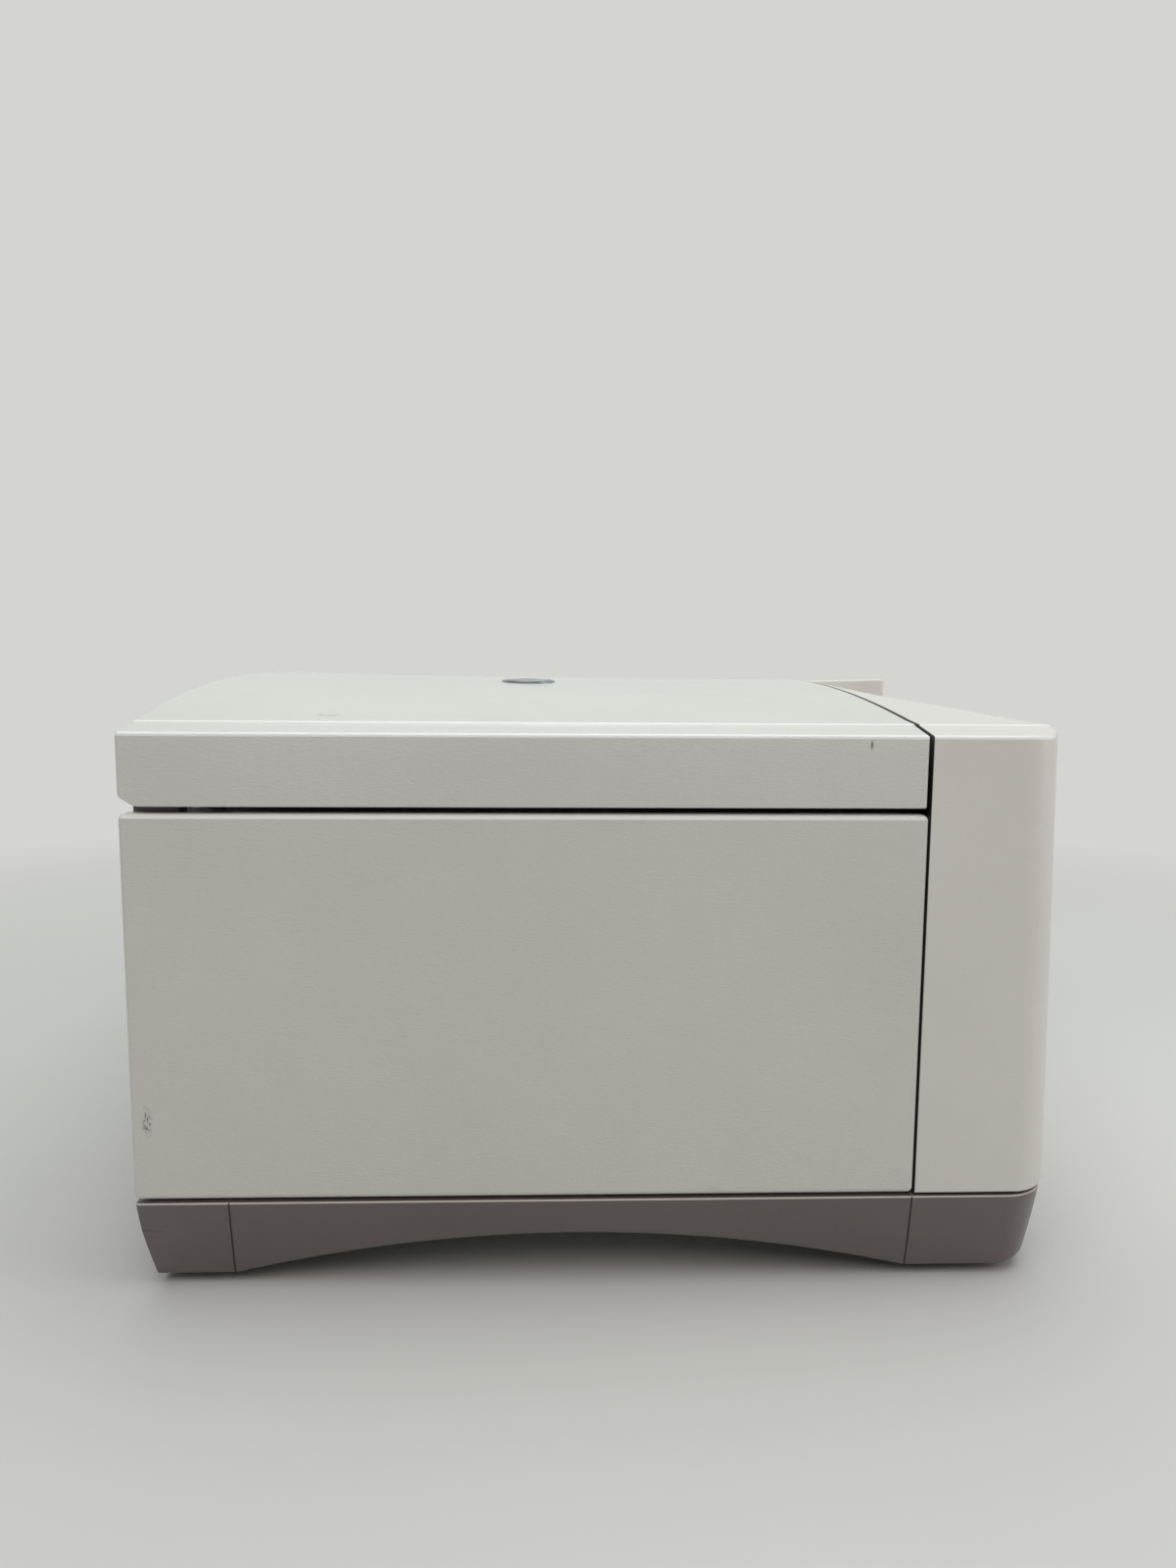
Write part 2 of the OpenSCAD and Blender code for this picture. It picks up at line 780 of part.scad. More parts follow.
module motor_housing() {
    color("#55595c") difference() {
        at_rotor() rotate_extrude($fn = 96) {
            difference() {
                translate([bearing_r, motor_base]) square([motor_can_r - bearing_r, motor_top - motor_base]);
                translate([bearing_r + 4, motor_base + bearing_h + 3])
                    square([motor_can_r - bearing_r - 8, motor_top - motor_base - 2 * bearing_h - 6]);
                translate([0, motor_base + bearing_h])
                    square([bearing_r + 5, motor_top - motor_base - 2 * bearing_h]);
            }
            translate([motor_can_r - 1, motor_base]) square([motor_flange_r - motor_can_r + 1, 5]);
            translate([bearing_r - 3, motor_base]) square([4, 1.5]);
        }
        for (a = damper_angles) damper_at(a) cylinder(h = 60, r = damper_stud_r, $fn = 32);
    }
}

module motor_stator() {
    color("#8a4b2c") at_rotor() translate([0, 0, motor_base + bearing_h + 4]) difference() {
        cylinder(h = motor_top - motor_base - 2 * bearing_h - 8, r = motor_can_r - 4);
        translate([0, 0, -1]) cylinder(h = motor_top, r = rotor_core_r + 1);
    }
}

module motor_dampers() {
    color("#1f2022") for (a = damper_angles) damper_at(a) {
        cylinder(h = motor_base - floor_top, r = damper_r, $fn = 40);
        translate([0, 0, -3]) cylinder(h = motor_base - floor_top + 8, r = damper_stud_r, $fn = 32);
        translate([0, 0, motor_base - floor_top + 5]) cylinder(h = 4, r = damper_r - 2, $fn = 40);
    }
}

module bearing_ring(z) {
    translate([0, 0, z]) difference() {
        cylinder(h = bearing_h, r = bearing_r);
        translate([0, 0, -1]) cylinder(h = bearing_h + 2, r = shaft_r + running_gap);
    }
}

module motor_bearings() {
    color("#d0d3d5") at_rotor() {
        bearing_ring(motor_base + 1.5);
        bearing_ring(motor_top - bearing_h - 1.5);
    }
}

// Rotor
rotor_core_r = 26;
hub_r = 22;
hub_bottom = pivot_height - 26;
hub_top = pivot_height + 12;
shaft_thread_r = shaft_r - 2;
nut_h = 12;
arm_in = bucket_half_l + 8;
arm_t = 8;
arm_half_h = 12;
cross_half = 27;

module drive_shaft() {
    core_z = motor_base + bearing_h + 6;
    core_h = motor_top - motor_base - 2 * bearing_h - 12;
    color("#cfd2d4") at_rotor() {
        translate([0, 0, floor_top + 6]) cylinder(h = hub_top - floor_top - 6, r = shaft_r);
        translate([0, 0, hub_top - eps]) cylinder(h = nut_h + 4, r = shaft_thread_r);
        translate([0, 0, core_z]) cylinder(h = core_h, r = rotor_core_r);
        translate([0, 0, hub_bottom - 8]) cylinder(h = 8, r = hub_r - 6);
    }
}

module rotor_arm() {
    along_y(arm_in, arm_in + arm_t) {
        translate([-pivot_radius, pivot_height - arm_half_h]) square([2 * pivot_radius, 2 * arm_half_h]);
        for (s = [-1, 1]) translate([s * pivot_radius, pivot_height]) circle(r = arm_half_h, $fn = 48);
    }
    for (s = [-1, 1])
        rod_y(s * pivot_radius, bucket_half_l + 0.6, arm_in + 1, pivot_height, trunnion_r);
}

module rotor_yoke() {
    color("#9aa0a4") at_rotor() difference() {
        union() {
            both_sides() rotor_arm();
            box_between(
                [-cross_half, -arm_in - 1, pivot_height - arm_half_h],
                [cross_half, arm_in + 1, pivot_height + arm_half_h]
            );
            translate([0, 0, hub_bottom]) cylinder(h = hub_top - hub_bottom, r = hub_r);
        }
        translate([0, 0, hub_bottom - 1]) cylinder(h = hub_top, r = shaft_r);
    }
}

module rotor_nut() {
    color("#3b3e41") at_rotor() translate([0, 0, hub_top]) difference() {
        union() {
            cylinder(h = nut_h, r = 17, $fn = 6);
            cylinder(h = 3, r = 18);
        }
        translate([0, 0, -1]) cylinder(h = nut_h + 2, r = shaft_thread_r);
    }
}

// Bucket: a tray with end walls that hang on the trunnions from open saddles
side_wall_h = 22;
saddle_w = 15;

module saddle() {
    reach = 6;
    difference() {
        along_y(bucket_half_l - 1, bucket_half_l + reach) {
            translate([-saddle_w, pivot_height - 24]) square([2 * saddle_w, 24]);
            translate([0, pivot_height]) circle(r = bucket_ears, $fn = 48);
            translate([-saddle_w, pivot_height - 1]) square([2 * saddle_w, 1.5]);
        }
        rod_y(0, bucket_half_l + 0.4, bucket_half_l + reach + 1, pivot_height, trunnion_r + running_gap);
        box_between(
            [-trunnion_r - running_gap, bucket_half_l + 0.4, pivot_height - 30],
            [trunnion_r + running_gap, bucket_half_l + reach + 1, pivot_height]
        );
    }
}

module plate_bucket() {
    z0 = pivot_height - bucket_drop;
    difference() {
        box_between(
            [-bucket_half_w, -bucket_half_l, z0],
            [bucket_half_w, bucket_half_l, pivot_height + bucket_ears]
        );
        box_between(
            [-bucket_in_w / 2, -bucket_in_l / 2, z0 + 3],
            [bucket_in_w / 2, bucket_in_l / 2, pivot_height + bucket_ears + 1]
        );
        for (s = [-1, 1])
            box_between(
                [s > 0 ? 0 : -bucket_half_w - 1, -bucket_in_l / 2 + 12, z0 + side_wall_h],
                [s > 0 ? bucket_half_w + 1 : 0, bucket_in_l / 2 - 12, pivot_height + bucket_ears + 1]
            );
        for (x = [-22, 22])
            for (y = [-36, 0, 36]) translate([x, y, z0 - 1]) cylinder(h = 5, r = 9, $fn = 40);
    }
    both_sides() saddle();
}

module plate_bucket_a() {
    color("#b3b8bb") at_rotor() translate([pivot_radius, 0, 0]) plate_bucket();
}

module plate_bucket_b() {
    color("#b3b8bb") at_rotor() translate([-pivot_radius, 0, 0]) plate_bucket();
}

// Deck round the bowl's mouth
deck_hole_r = bowl_r + bowl_t + 0.5;
striker_x = seam_x - 27;
latch_x = striker_x + 16;
latch_z = deck_bottom - 29;
latch_span = 150;
striker_t = 4;
striker_leg = 2.5;
hook_half = 3;
latch_axle_r = 4;

module top_deck() {
    color("#b5b9bb") difference() {
        box_between(
            [inner_x + fit_gap, -inner_y, deck_bottom],
            [seam_x - 2, partition_y + sheet_t, deck_top]
        );
        at_rotor() cylinder(h = 2 * deck_top, r = deck_hole_r, $fn = 128);
        for (s = [-1, 1]) {
            translate([strut_x, strut_y(s), 0]) cylinder(h = deck_top + 1, r = rod_r + 2, $fn = 40);
            box_between(
                [striker_x - striker_t / 2 - 2.5, rotor_y + s * latch_span - 9, deck_bottom - 1],
                [striker_x + striker_t / 2 + 7, rotor_y + s * latch_span + 9, deck_top + 1]
            );
        }
    }
}

// Hinge: blocks on the deck, arms on the lid, pins between them
hinge_x = rear_x + hinge_inset;
hinge_z = edge_height - 15;
knuckle_r = hinge_pin_r + 4.5;
block_t = 14;
arm_plate_t = 4;
hinge_play = 0.3;
hinge_off = rotor_from_left - 17;
lever_r = 30;
stud_r = 3;
rod_r = 4;
eye_r = 6.6;
eye_out_r = 9.5;
eye_t = 7;
strut_x = rear_x + hinge_inset + lever_r * (1 + cos(lid_open / 2)) / 2;
strut_off = hinge_off - block_t / 2 - arm_plate_t - 7;
function strut_y(s) = rotor_y + s * strut_off;
notch_in = strut_off - 8;
notch_out = hinge_off + block_t / 2 + arm_plate_t + 1.4;
notch_top = hinge_z + 8;
liner_z = lid_bottom + 2;
liner_t = 3;
liner_notch_x = rear_x + 60;

// Children are placed for both hinges, mirrored about the rotor's plane, with +Y outward
module both_hinges() {
    for (s = [-1, 1]) translate([0, rotor_y, 0]) scale_y(s) children();
}

module scale_y(s) {
    if (s < 0) {
        mirror([0, 1, 0]) children();
    } else {
        children();
    }
}

module hinge_brackets() {
    y0 = hinge_off - block_t / 2;
    y1 = hinge_off + block_t / 2;
    color("#3f4144") both_hinges() difference() {
        union() {
            box_between([rear_x + 4.5, y0, deck_top], [rear_x + 29, y1, deck_top + 4.5]);
            box_between([hinge_x - knuckle_r, y0, deck_top], [hinge_x + knuckle_r, y1, hinge_z]);
            rod_y(hinge_x, y0, y1, hinge_z, knuckle_r);
        }
        rod_y(hinge_x, y0 - 1, y1 + 1, hinge_z, hinge_pin_r + running_gap);
    }
}

module arm_profile() {
    stud_x = hinge_x + lever_r * cos(lid_open / 2);
    stud_z = hinge_z - lever_r * sin(lid_open / 2);
    translate([hinge_x, hinge_z]) circle(r = knuckle_r, $fn = 48);
    translate([hinge_x, hinge_z - knuckle_r]) square([70, 2 * knuckle_r - 2]);
    translate([stud_x - 7, stud_z]) square([14, hinge_z - stud_z]);
    translate([stud_x, stud_z]) circle(r = 7, $fn = 40);
    translate([liner_notch_x + 3, liner_z + liner_t]) square([32, hinge_z - liner_z - liner_t]);
}

module hinge_arms() {
    stud_x = hinge_x + lever_r * cos(lid_open / 2);
    stud_z = hinge_z - lever_r * sin(lid_open / 2);
    inner = hinge_off - block_t / 2 - hinge_play;
    outer = hinge_off + block_t / 2 + hinge_play;
    color("#55585b") both_hinges() difference() {
        union() {
            along_y(inner - arm_plate_t, inner) arm_profile();
            along_y(outer, outer + arm_plate_t - 1) arm_profile();
            box_between(
                [liner_notch_x + 3, inner - 16, liner_z + liner_t],
                [liner_notch_x + 35, outer + arm_plate_t - 1, liner_z + liner_t + 3]
            );
            rod_y(stud_x, inner - 14, inner - 1, stud_z, stud_r);
        }
        rod_y(hinge_x, inner - 20, outer + 20, hinge_z, hinge_pin_r);
    }
}

module hinge_pins() {
    inner = hinge_off - block_t / 2 - hinge_play - arm_plate_t;
    outer = hinge_off + block_t / 2 + hinge_play + arm_plate_t - 1;
    color("#c9ccce") both_hinges() rod_y(hinge_x, inner, outer, hinge_z, hinge_pin_r);
}

// Gas springs. The upper eye has play round the lid's stud, which moves on an arc.
cylinder_r = 8;
cylinder_top = deck_bottom - 34;
cylinder_low = floor_top + 66;
eye_z = hinge_z - lever_r * sin(lid_open / 2);
rod_bottom = cylinder_low + 40;

module strut_cylinders() {
    color("#1c1d1f") both_hinges() {
        difference() {
            translate([strut_x, strut_off, cylinder_low])
                cylinder(h = cylinder_top - cylinder_low, r = cylinder_r);
            translate([strut_x, strut_off, rod_bottom - 4])
                cylinder(h = cylinder_top, r = rod_r + running_gap);
        }
        translate([strut_x, strut_off, cylinder_low - 10]) cylinder(h = 10 + eps, r = 5);
        box_between(
            [strut_x - 9, strut_off - 9, floor_top],
            [strut_x + 9, strut_off + 9, cylinder_low - 10 + eps]
        );
    }
}

module strut_rod() {
    difference() {
        union() {
            translate([strut_x, strut_off, rod_bottom])
                cylinder(h = eye_z - eye_r - 1 - rod_bottom, r = rod_r);
            rod_y(strut_x, strut_off - eye_t / 2, strut_off + eye_t / 2, eye_z, eye_out_r);
        }
        rod_y(strut_x, strut_off - eye_t, strut_off + eye_t, eye_z, eye_r);
    }
}

module strut_rod_left() {
    color("#d5d8da") translate([0, rotor_y, 0]) mirror([0, 1, 0]) strut_rod();
}

module strut_rod_right() {
    color("#d5d8da") translate([0, rotor_y, 0]) strut_rod();
}

// Lid
lid_wall = 2.5;
lid_chamfer = 6;
lid_chamfer_run = 9;

module lid_shell() {
    difference() {
        crowned_block(rear_x, lid_front, left_y, lid_right, lid_bottom, 0, ALONG);
        crowned_block(
            rear_x + lid_wall, lid_front - lid_wall, left_y + lid_wall, lid_right - lid_wall,
            lid_bottom - 5, wall, ALONG
        );
    }
}

module lid_cover() {
    color("#d9dbd7") difference() {
        lid_shell();
        along_y(left_y - 1, lid_right + 1)
            polygon([
                [rear_x - 1, lid_bottom - 1],
                [rear_x + lid_chamfer_run, lid_bottom - 1],
                [rear_x + lid_chamfer_run, lid_bottom],
                [rear_x, lid_bottom + lid_chamfer],
                [rear_x - 1, lid_bottom + lid_chamfer]
            ]);
        both_hinges() box_between(
            [rear_x - 1, notch_in, lid_bottom - 2],
            [rear_x + lid_wall + 5, notch_out, notch_top]
        );
        at_rotor() translate([0, 0, edge_height - 5]) cylinder(h = 60, r = window_r);
    }
}

module lid_liner() {
    g = lid_wall + fit_gap;
    color("#c9cbc8") difference() {
        box_between(
            [rear_x + lid_chamfer + 2, left_y + g, liner_z],
            [lid_front - g, lid_right - g, liner_z + liner_t]
        );
        both_hinges() box_between(
            [rear_x - 1, notch_in, liner_z - 1],
            [liner_notch_x, rotor_from_left, liner_z + liner_t + 1]
        );
        at_rotor() cylinder(h = 2 * edge_height, r = window_r);
    }
}

// Viewing window: a sleeve through the lid with a raised rim and a clear lens. The rim's
// underside follows the crowned lid.
window_r = window_d / 2 - 2.5;
window_top = lid_z(rotor_x, rotor_y) + window_proud;
window_fit = 0.2;
rim_seat = 0.1;
rim_edge_r = 1;
sleeve_r = window_r - window_fit;
sight_r = window_r - 3;
lens_r = window_r - 0.5;
lens_seat = window_top - 1.6;

module window_bezel() {
    rim_low = lid_z(rotor_x, rotor_y) - 2;
    rim_r = window_d / 2;
    color("#4d5359") difference() {
        at_rotor() rotate_extrude($fn = 96) {
            translate([sight_r, liner_z]) square([sleeve_r - sight_r, lens_seat - liner_z]);
            translate([lens_r, rim_low]) square([rim_r - rim_edge_r - lens_r, window_top - rim_low]);
            translate([lens_r, rim_low]) square([rim_r - lens_r, window_top - rim_low - rim_edge_r]);
            translate([rim_r - rim_edge_r, window_top - rim_edge_r]) circle(r = rim_edge_r, $fn = 32);
        }
        difference() {
            crowned_block(
                rotor_x - window_d, rotor_x + window_d, rotor_y - window_d, rotor_y + window_d,
                edge_height - 4, -rim_seat, 2
            );
            at_rotor() cylinder(h = 2 * edge_height, r = sleeve_r);
        }
    }
}

module window_lens() {
    color("#7d8790", 0.5) at_rotor() rotate_extrude($fn = 96) {
        translate([0, lens_seat]) square([lens_r - window_fit, 1.3]);
        translate([0, lens_seat - 3]) square([sight_r - window_fit, 3 + eps]);
    }
}

module lid_strikers() {
    low = latch_z + 2;
    color("#8d9194") for (s = [-1, 1]) translate([striker_x, rotor_y + s * latch_span, 0]) {
        box_between([-8, -14, liner_z - 2], [8, 14, liner_z]);
        for (t = [-1, 1])
            box_between(
                [-striker_t / 2, t > 0 ? 4.5 : -4.5 - striker_leg, low],
                [striker_t / 2, t > 0 ? 4.5 + striker_leg : -4.5, liner_z - 2 + eps]
            );
        box_between([-striker_t / 2, -4.5 - striker_leg, low], [striker_t / 2, 4.5 + striker_leg, low + 4]);
    }
}

// Latch: a turning bar with two hooks, drawn in its released place
latch_turn = 40;
latch_end = latch_span + 22;

module hook_profile() {
    nose = latch_x - striker_x;
    circle(r = latch_axle_r + 4, $fn = 40);
    translate([-5, 0]) square([9, 12]);
    translate([-nose - 2, 7]) square([nose + 6, 5]);
}

module latch_bar() {
    color("#9b9fa2") translate([latch_x, rotor_y, latch_z]) {
        rod_y(0, -latch_end, latch_end, 0, latch_axle_r);
        for (s = [-1, 1])
            translate([0, s * latch_span, 0]) rotate([0, latch_turn, 0])
                along_y(-hook_half, hook_half) hook_profile();
    }
}

module latch_housings() {
    cheek = 3;
    color("#6a6e71") for (s = [-1, 1])
        for (t = [-1, 1])
            translate([latch_x, rotor_y + s * latch_span + t * 16, 0]) difference() {
                union() {
                    box_between([-8, -cheek / 2, latch_z], [5, cheek / 2, deck_bottom]);
                    rod_y(-1.5, -cheek / 2, cheek / 2, latch_z, 6.5);
                    box_between([-8, -5, deck_bottom - 2], [5, 5, deck_bottom]);
                }
                rod_y(0, -10, 10, latch_z, latch_axle_r + running_gap);
            }
}

// Fixed top cover over the cooling bay
module right_cover() {
    color("#d9dbd7") difference() {
        crowned_block(rear_x, seam_x, cover_left, right_y, panel_top, 0, ALONG);
        crowned_block(
            rear_x + lid_wall, seam_x - lid_wall, cover_left + lid_wall, right_y - lid_wall,
            panel_top - 5, wall, ALONG
        );
    }
}

// Moulded front: leans outward and has round corners in plan
console_h = 190;
console_low = edge_height - console_h;

module front_plan(x_out, inset) {
    r = front_corner_r - inset;
    x0 = front_start + inset;
    for (s = [-1, 1])
        translate([x_out - front_corner_r, s * (half_w - front_corner_r), 0])
            cylinder(h = 0.1, r = r, $fn = 48);
    for (s = [-1, 1])
        translate([x0, s > 0 ? half_w - inset - 1 : -half_w + inset, 0]) cube([1, 1, 0.1]);
}

module front_body(inset) {
    over = edge_height + 40;
    lean = front_lean * (over - base_top) / (edge_height - base_top);
    hull() {
        translate([0, 0, panel_bottom - (inset > 0 ? 1 : 0)]) front_plan(front_x, inset);
        translate([0, 0, over]) front_plan(front_x - lean, inset);
    }
}

module front_panel() {
    console_in = 1.5;
    color("#d3d3ce") difference() {
        intersection() {
            front_body(0);
            crowned_block(seam_x - 5, console_x, left_y - 1, right_y + 1, panel_bottom - 5, 0, 3);
        }
        intersection() {
            front_body(wall);
            crowned_block(seam_x - 5, console_x, left_y - 1, right_y + 1, panel_bottom - 8, wall, 3);
        }
        box_between(
            [front_start + wall, left_y + wall, panel_bottom - 5],
            [front_start + front_depth / 2, right_y - wall, panel_bottom + 20]
        );
        box_between(
            [seam_x - 5, cover_left - console_in, console_low - console_in],
            [console_x + 5, right_y + 5, 2 * edge_height]
        );
    }
}

// Console
console_wall = 3;
face_in = 3;
face_y0 = cover_left + 14;
face_y1 = right_y - 16;
face_mid = (face_y0 + face_y1) / 2;
face_z0 = console_low + 26;
face_z1 = edge_height - 6;
plate_x = console_x - face_in;
keypad_t = 1.5;

module console_plan(inset) {
    r = front_corner_r - inset;
    small_r = 8;
    x0 = front_start + inset;
    y0 = cover_left + inset;
    translate([x0, y0]) square([console_x - front_corner_r - x0, right_y - inset - y0]);
    translate([x0, y0 + small_r]) square([console_x - inset - x0, right_y - front_corner_r - y0 - small_r]);
    translate([console_x - front_corner_r, right_y - front_corner_r]) circle(r = r, $fn = 64);
    translate([console_x - inset - small_r, y0 + small_r]) circle(r = small_r, $fn = 64);
    translate([console_x - front_corner_r - 1, y0]) square([front_corner_r - inset - small_r + 1, small_r]);
}

module console_hollow_shell() {
    difference() {
        intersection() {
            translate([0, 0, console_low]) linear_extrude(height = edge_height) console_plan(0);
            crowned_block(
                seam_x - 2, console_x + 2, cover_left - 5, right_y + 1, console_low - 5, 0, 3, true
            );
        }
        intersection() {
            translate([0, 0, console_low + console_wall]) linear_extrude(height = edge_height)
                console_plan(console_wall);
            crowned_block(
                seam_x - 2, console_x + 2, cover_left - 5, right_y + 1, console_low - 5, console_wall, 3, true
            );
        }
    }
}

// The recess of the face has a ledge behind it that the key plate sits on
module console_shell() {
    ledge = 6;
    ledge_t = 2.5;
    color("#d3d3ce") difference() {
        union() {
            console_hollow_shell();
            box_between(
                [plate_x - ledge_t, face_y0 - 4, face_z0 - 4],
                [console_x - console_wall + eps, face_y1 + 4, face_z1 + 4]
            );
        }
        box_between([plate_x, face_y0, face_z0], [console_x + 1, face_y1, face_z1]);
        box_between(
            [plate_x - 10, face_y0 + ledge, face_z0 + ledge],
            [console_x + 1, face_y1 - ledge, face_z1 - ledge]
        );
    }
}

key_margin = 6;
display_z = face_z1 - 2 * key_margin - display_h / 2;
push_z = face_z0 + 20;
rocker_z = push_z + 42;
rocker_w = 15;
rocker_h = 32;
key_pitch = (face_y1 - face_y0 - 2 * key_margin) / 3;
key_out = 2.2;
key_edge_t = 2;

// Places of the three keys in a row
function key_y(i) = face_mid + (i - 1) * key_pitch;

module keypad_plate() {
    color("#8e949a") difference() {
        box_between(
            [plate_x, face_y0 + fit_gap, face_z0 + fit_gap],
            [plate_x + keypad_t, face_y1 - fit_gap, face_z1 - fit_gap]
        );
        box_between(
            [plate_x - 1, face_mid - display_w / 2 + 5, display_z - display_h / 2 + 5],
            [console_x, face_mid + display_w / 2 - 5, display_z + display_h / 2 - 5]
        );
        for (i = [0 : 2]) {
            box_between(
                [plate_x - 1, key_y(i) - key_w / 2 - key_gap, push_z - key_h / 2 - key_gap],
                [console_x, key_y(i) + key_w / 2 + key_gap, push_z + key_h / 2 + key_gap]
            );
            box_between(
                [plate_x - 1, key_y(i) - rocker_w / 2 - key_gap, rocker_z - rocker_h / 2 - key_gap],
                [console_x, key_y(i) + rocker_w / 2 + key_gap, rocker_z + rocker_h / 2 + key_gap]
            );
        }
    }
}

module display_lens() {
    color("#20262c") box_between(
        [plate_x + keypad_t, face_mid - display_w / 2, display_z - display_h / 2],
        [plate_x + keypad_t + 1.2, face_mid + display_w / 2, display_z + display_h / 2]
    );
}

// Push key: a cap through the plate with a stem behind it and a retaining edge
module push_key(y, shade) {
    color(shade) {
        box_between(
            [plate_x - 2, y - key_w / 2, push_z - key_h / 2],
            [plate_x + key_out, y + key_w / 2, push_z + key_h / 2]
        );
        box_between(
            [plate_x - fit_gap - key_edge_t, y - key_w / 2 - 1.5, push_z - key_h / 2 - 1.5],
            [plate_x - fit_gap, y + key_w / 2 + 1.5, push_z + key_h / 2 + 1.5]
        );
    }
}

module key_open() {
    push_key(key_y(0), "#c7c9c9");
}

module key_start() {
    push_key(key_y(1), "#4f8a5b");
}

module key_stop() {
    push_key(key_y(2), "#b2483d");
}

// Rocker key: tips about an axle behind the plate
rocker_axis_x = plate_x - 3;

module rocker_key(i) {
    color("#c7c9c9") translate([rocker_axis_x, key_y(i), rocker_z]) difference() {
        union() {
            box_between(
                [-2, -rocker_w / 2, -rocker_h / 2 + 0.6],
                [3 + key_out, rocker_w / 2, rocker_h / 2 - 0.6]
            );
            rod_y(0, -rocker_w / 2 - 3, rocker_w / 2 + 3, 0, 1.5);
        }
        rod_y(80 + key_out + 2.2, -rocker_w, rocker_w, 0, 80);
    }
}

module key_temperature() {
    rocker_key(0);
}

module key_time() {
    rocker_key(1);
}

module key_speed() {
    rocker_key(2);
}

// Electronics board behind the console's face, with bearings for the rocker axles
board_x = plate_x - 22;
board_t = 1.6;
board_in = 6.5;
post_in = 9;

module control_board() {
    color("#2f5d46") box_between(
        [board_x, face_y0 + board_in, face_z0 + board_in],
        [board_x + board_t, face_y1 - board_in, face_z1 - board_in]
    );
    color("#b9bdbf") {
        for (y = [face_y0 + post_in, face_y1 - post_in])
            for (z = [face_z0 + post_in, face_z1 - post_in])
                rod_x(board_x + board_t - eps, plate_x, y, z, 2.5);
        for (i = [0 : 2]) {
            for (s = [-1, 1])
                difference() {
                    box_between(
                        [board_x + board_t - eps, key_y(i) + s * (rocker_w / 2 + 2) - 1.2, rocker_z - 3],
                        [plate_x - 0.4, key_y(i) + s * (rocker_w / 2 + 2) + 1.2, rocker_z + 3]
                    );
                    rod_y(rocker_axis_x, key_y(i) - 20, key_y(i) + 20, rocker_z, 1.5 + running_gap);
                }
            box_between(
                [board_x + board_t - eps, key_y(i) - 4, push_z - 4],
                [plate_x - fit_gap - key_edge_t - key_travel - 0.2, key_y(i) + 4, push_z + 4]
            );
        }
    }
    color("#1d2023") {
        box_between(
            [board_x - 6, face_mid - 30, display_z - 15],
            [board_x + eps, face_mid + 10, display_z + 10]
        );
        box_between(
            [board_x + board_t - eps, face_mid - display_w / 2 + 8, display_z - display_h / 2 + 8],
            [plate_x + keypad_t, face_mid + display_w / 2 - 8, display_z + display_h / 2 - 8]
        );
    }
}

// Cooling bay
condenser_half = 92;
low_pipe_bend = 6;
fan_x = pipe_x + low_pipe_bend + condenser_half;
fan_z = floor_top + 105;
condenser_y1 = right_y - plate_in - clip_t - clip_gap;
condenser_y0 = condenser_y1 - 24;
shroud_y1 = condenser_y0;
shroud_y0 = shroud_y1 - 22;
guard_y = shroud_y0;
compressor_x = rear_x + 48 + compressor_r;
compressor_y = (partition_y + right_y) / 2;

module compressor() {
    top_r = 16;
    color("#232527") translate([compressor_x, compressor_y, 0]) {
        rotate_extrude($fn = 96) intersection() {
            square([compressor_r, compressor_top]);
            union() {
                translate([0, compressor_z]) square([compressor_r, compressor_h - top_r]);
                translate([0, compressor_z]) square([compressor_r - top_r, compressor_h]);
                translate([compressor_r - top_r, compressor_top - top_r])
                    circle(r = top_r, $fn = 64);
            }
        }
        translate([0, 0, compressor_z]) cylinder(h = 3, r = compressor_r + 5);
        for (a = [45 : 90 : 315])
            rotate([0, 0, a]) translate([compressor_r - 4, 0, floor_top])
                cylinder(h = compressor_z - floor_top + eps, r = 8);
    }
}

module condenser() {
    fins = 16;
    pitch = (2 * condenser_half - 8) / fins;
    color("#9a9ea0") {
        for (s = [-1, 1])
            box_between(
                [fan_x + s * (condenser_half - 1.5) - 1.5, condenser_y0, floor_top],
                [fan_x + s * (condenser_half - 1.5) + 1.5, condenser_y1, fan_z + condenser_half]
            );
        for (i = [1 : fins - 1])
            box_between(
                [fan_x - condenser_half + 4 + i * pitch - 0.5, condenser_y0, fan_z - condenser_half + 6],
                [fan_x - condenser_half + 4 + i * pitch + 0.5, condenser_y1, fan_z + condenser_half - 6]
            );
        for (k = [0 : 5])
            rod_x(
                fan_x - condenser_half + 1, fan_x + condenser_half - 1,
                (condenser_y0 + condenser_y1) / 2, fan_z - condenser_half + 22 + k * 28, 4
            );
    }
}

module fan_shroud() {
    color("#2b2d2f") difference() {
        union() {
            box_between(
                [fan_x - condenser_half, shroud_y1 - 2, fan_z - condenser_half],
                [fan_x + condenser_half, shroud_y1, fan_z + condenser_half]
            );
            rod_y(fan_x, shroud_y0, shroud_y1, fan_z, fan_r + 6);
        }
        rod_y(fan_x, shroud_y0 - 1, shroud_y1 + 1, fan_z, fan_r + 3);
    }
}

module guard_ring(r, w) {
    difference() {
        circle(r = r + w / 2, $fn = 96);
        circle(r = r - w / 2, $fn = 96);
    }
}

// Guard: rings and spokes that carry the fan's motor on their hub
guard_t = 3;
guard_wire = 2.4;
fan_motor_r = 20;
fan_motor_l = 18;
fan_axle_r = 3;
fan_axle_l = 11;

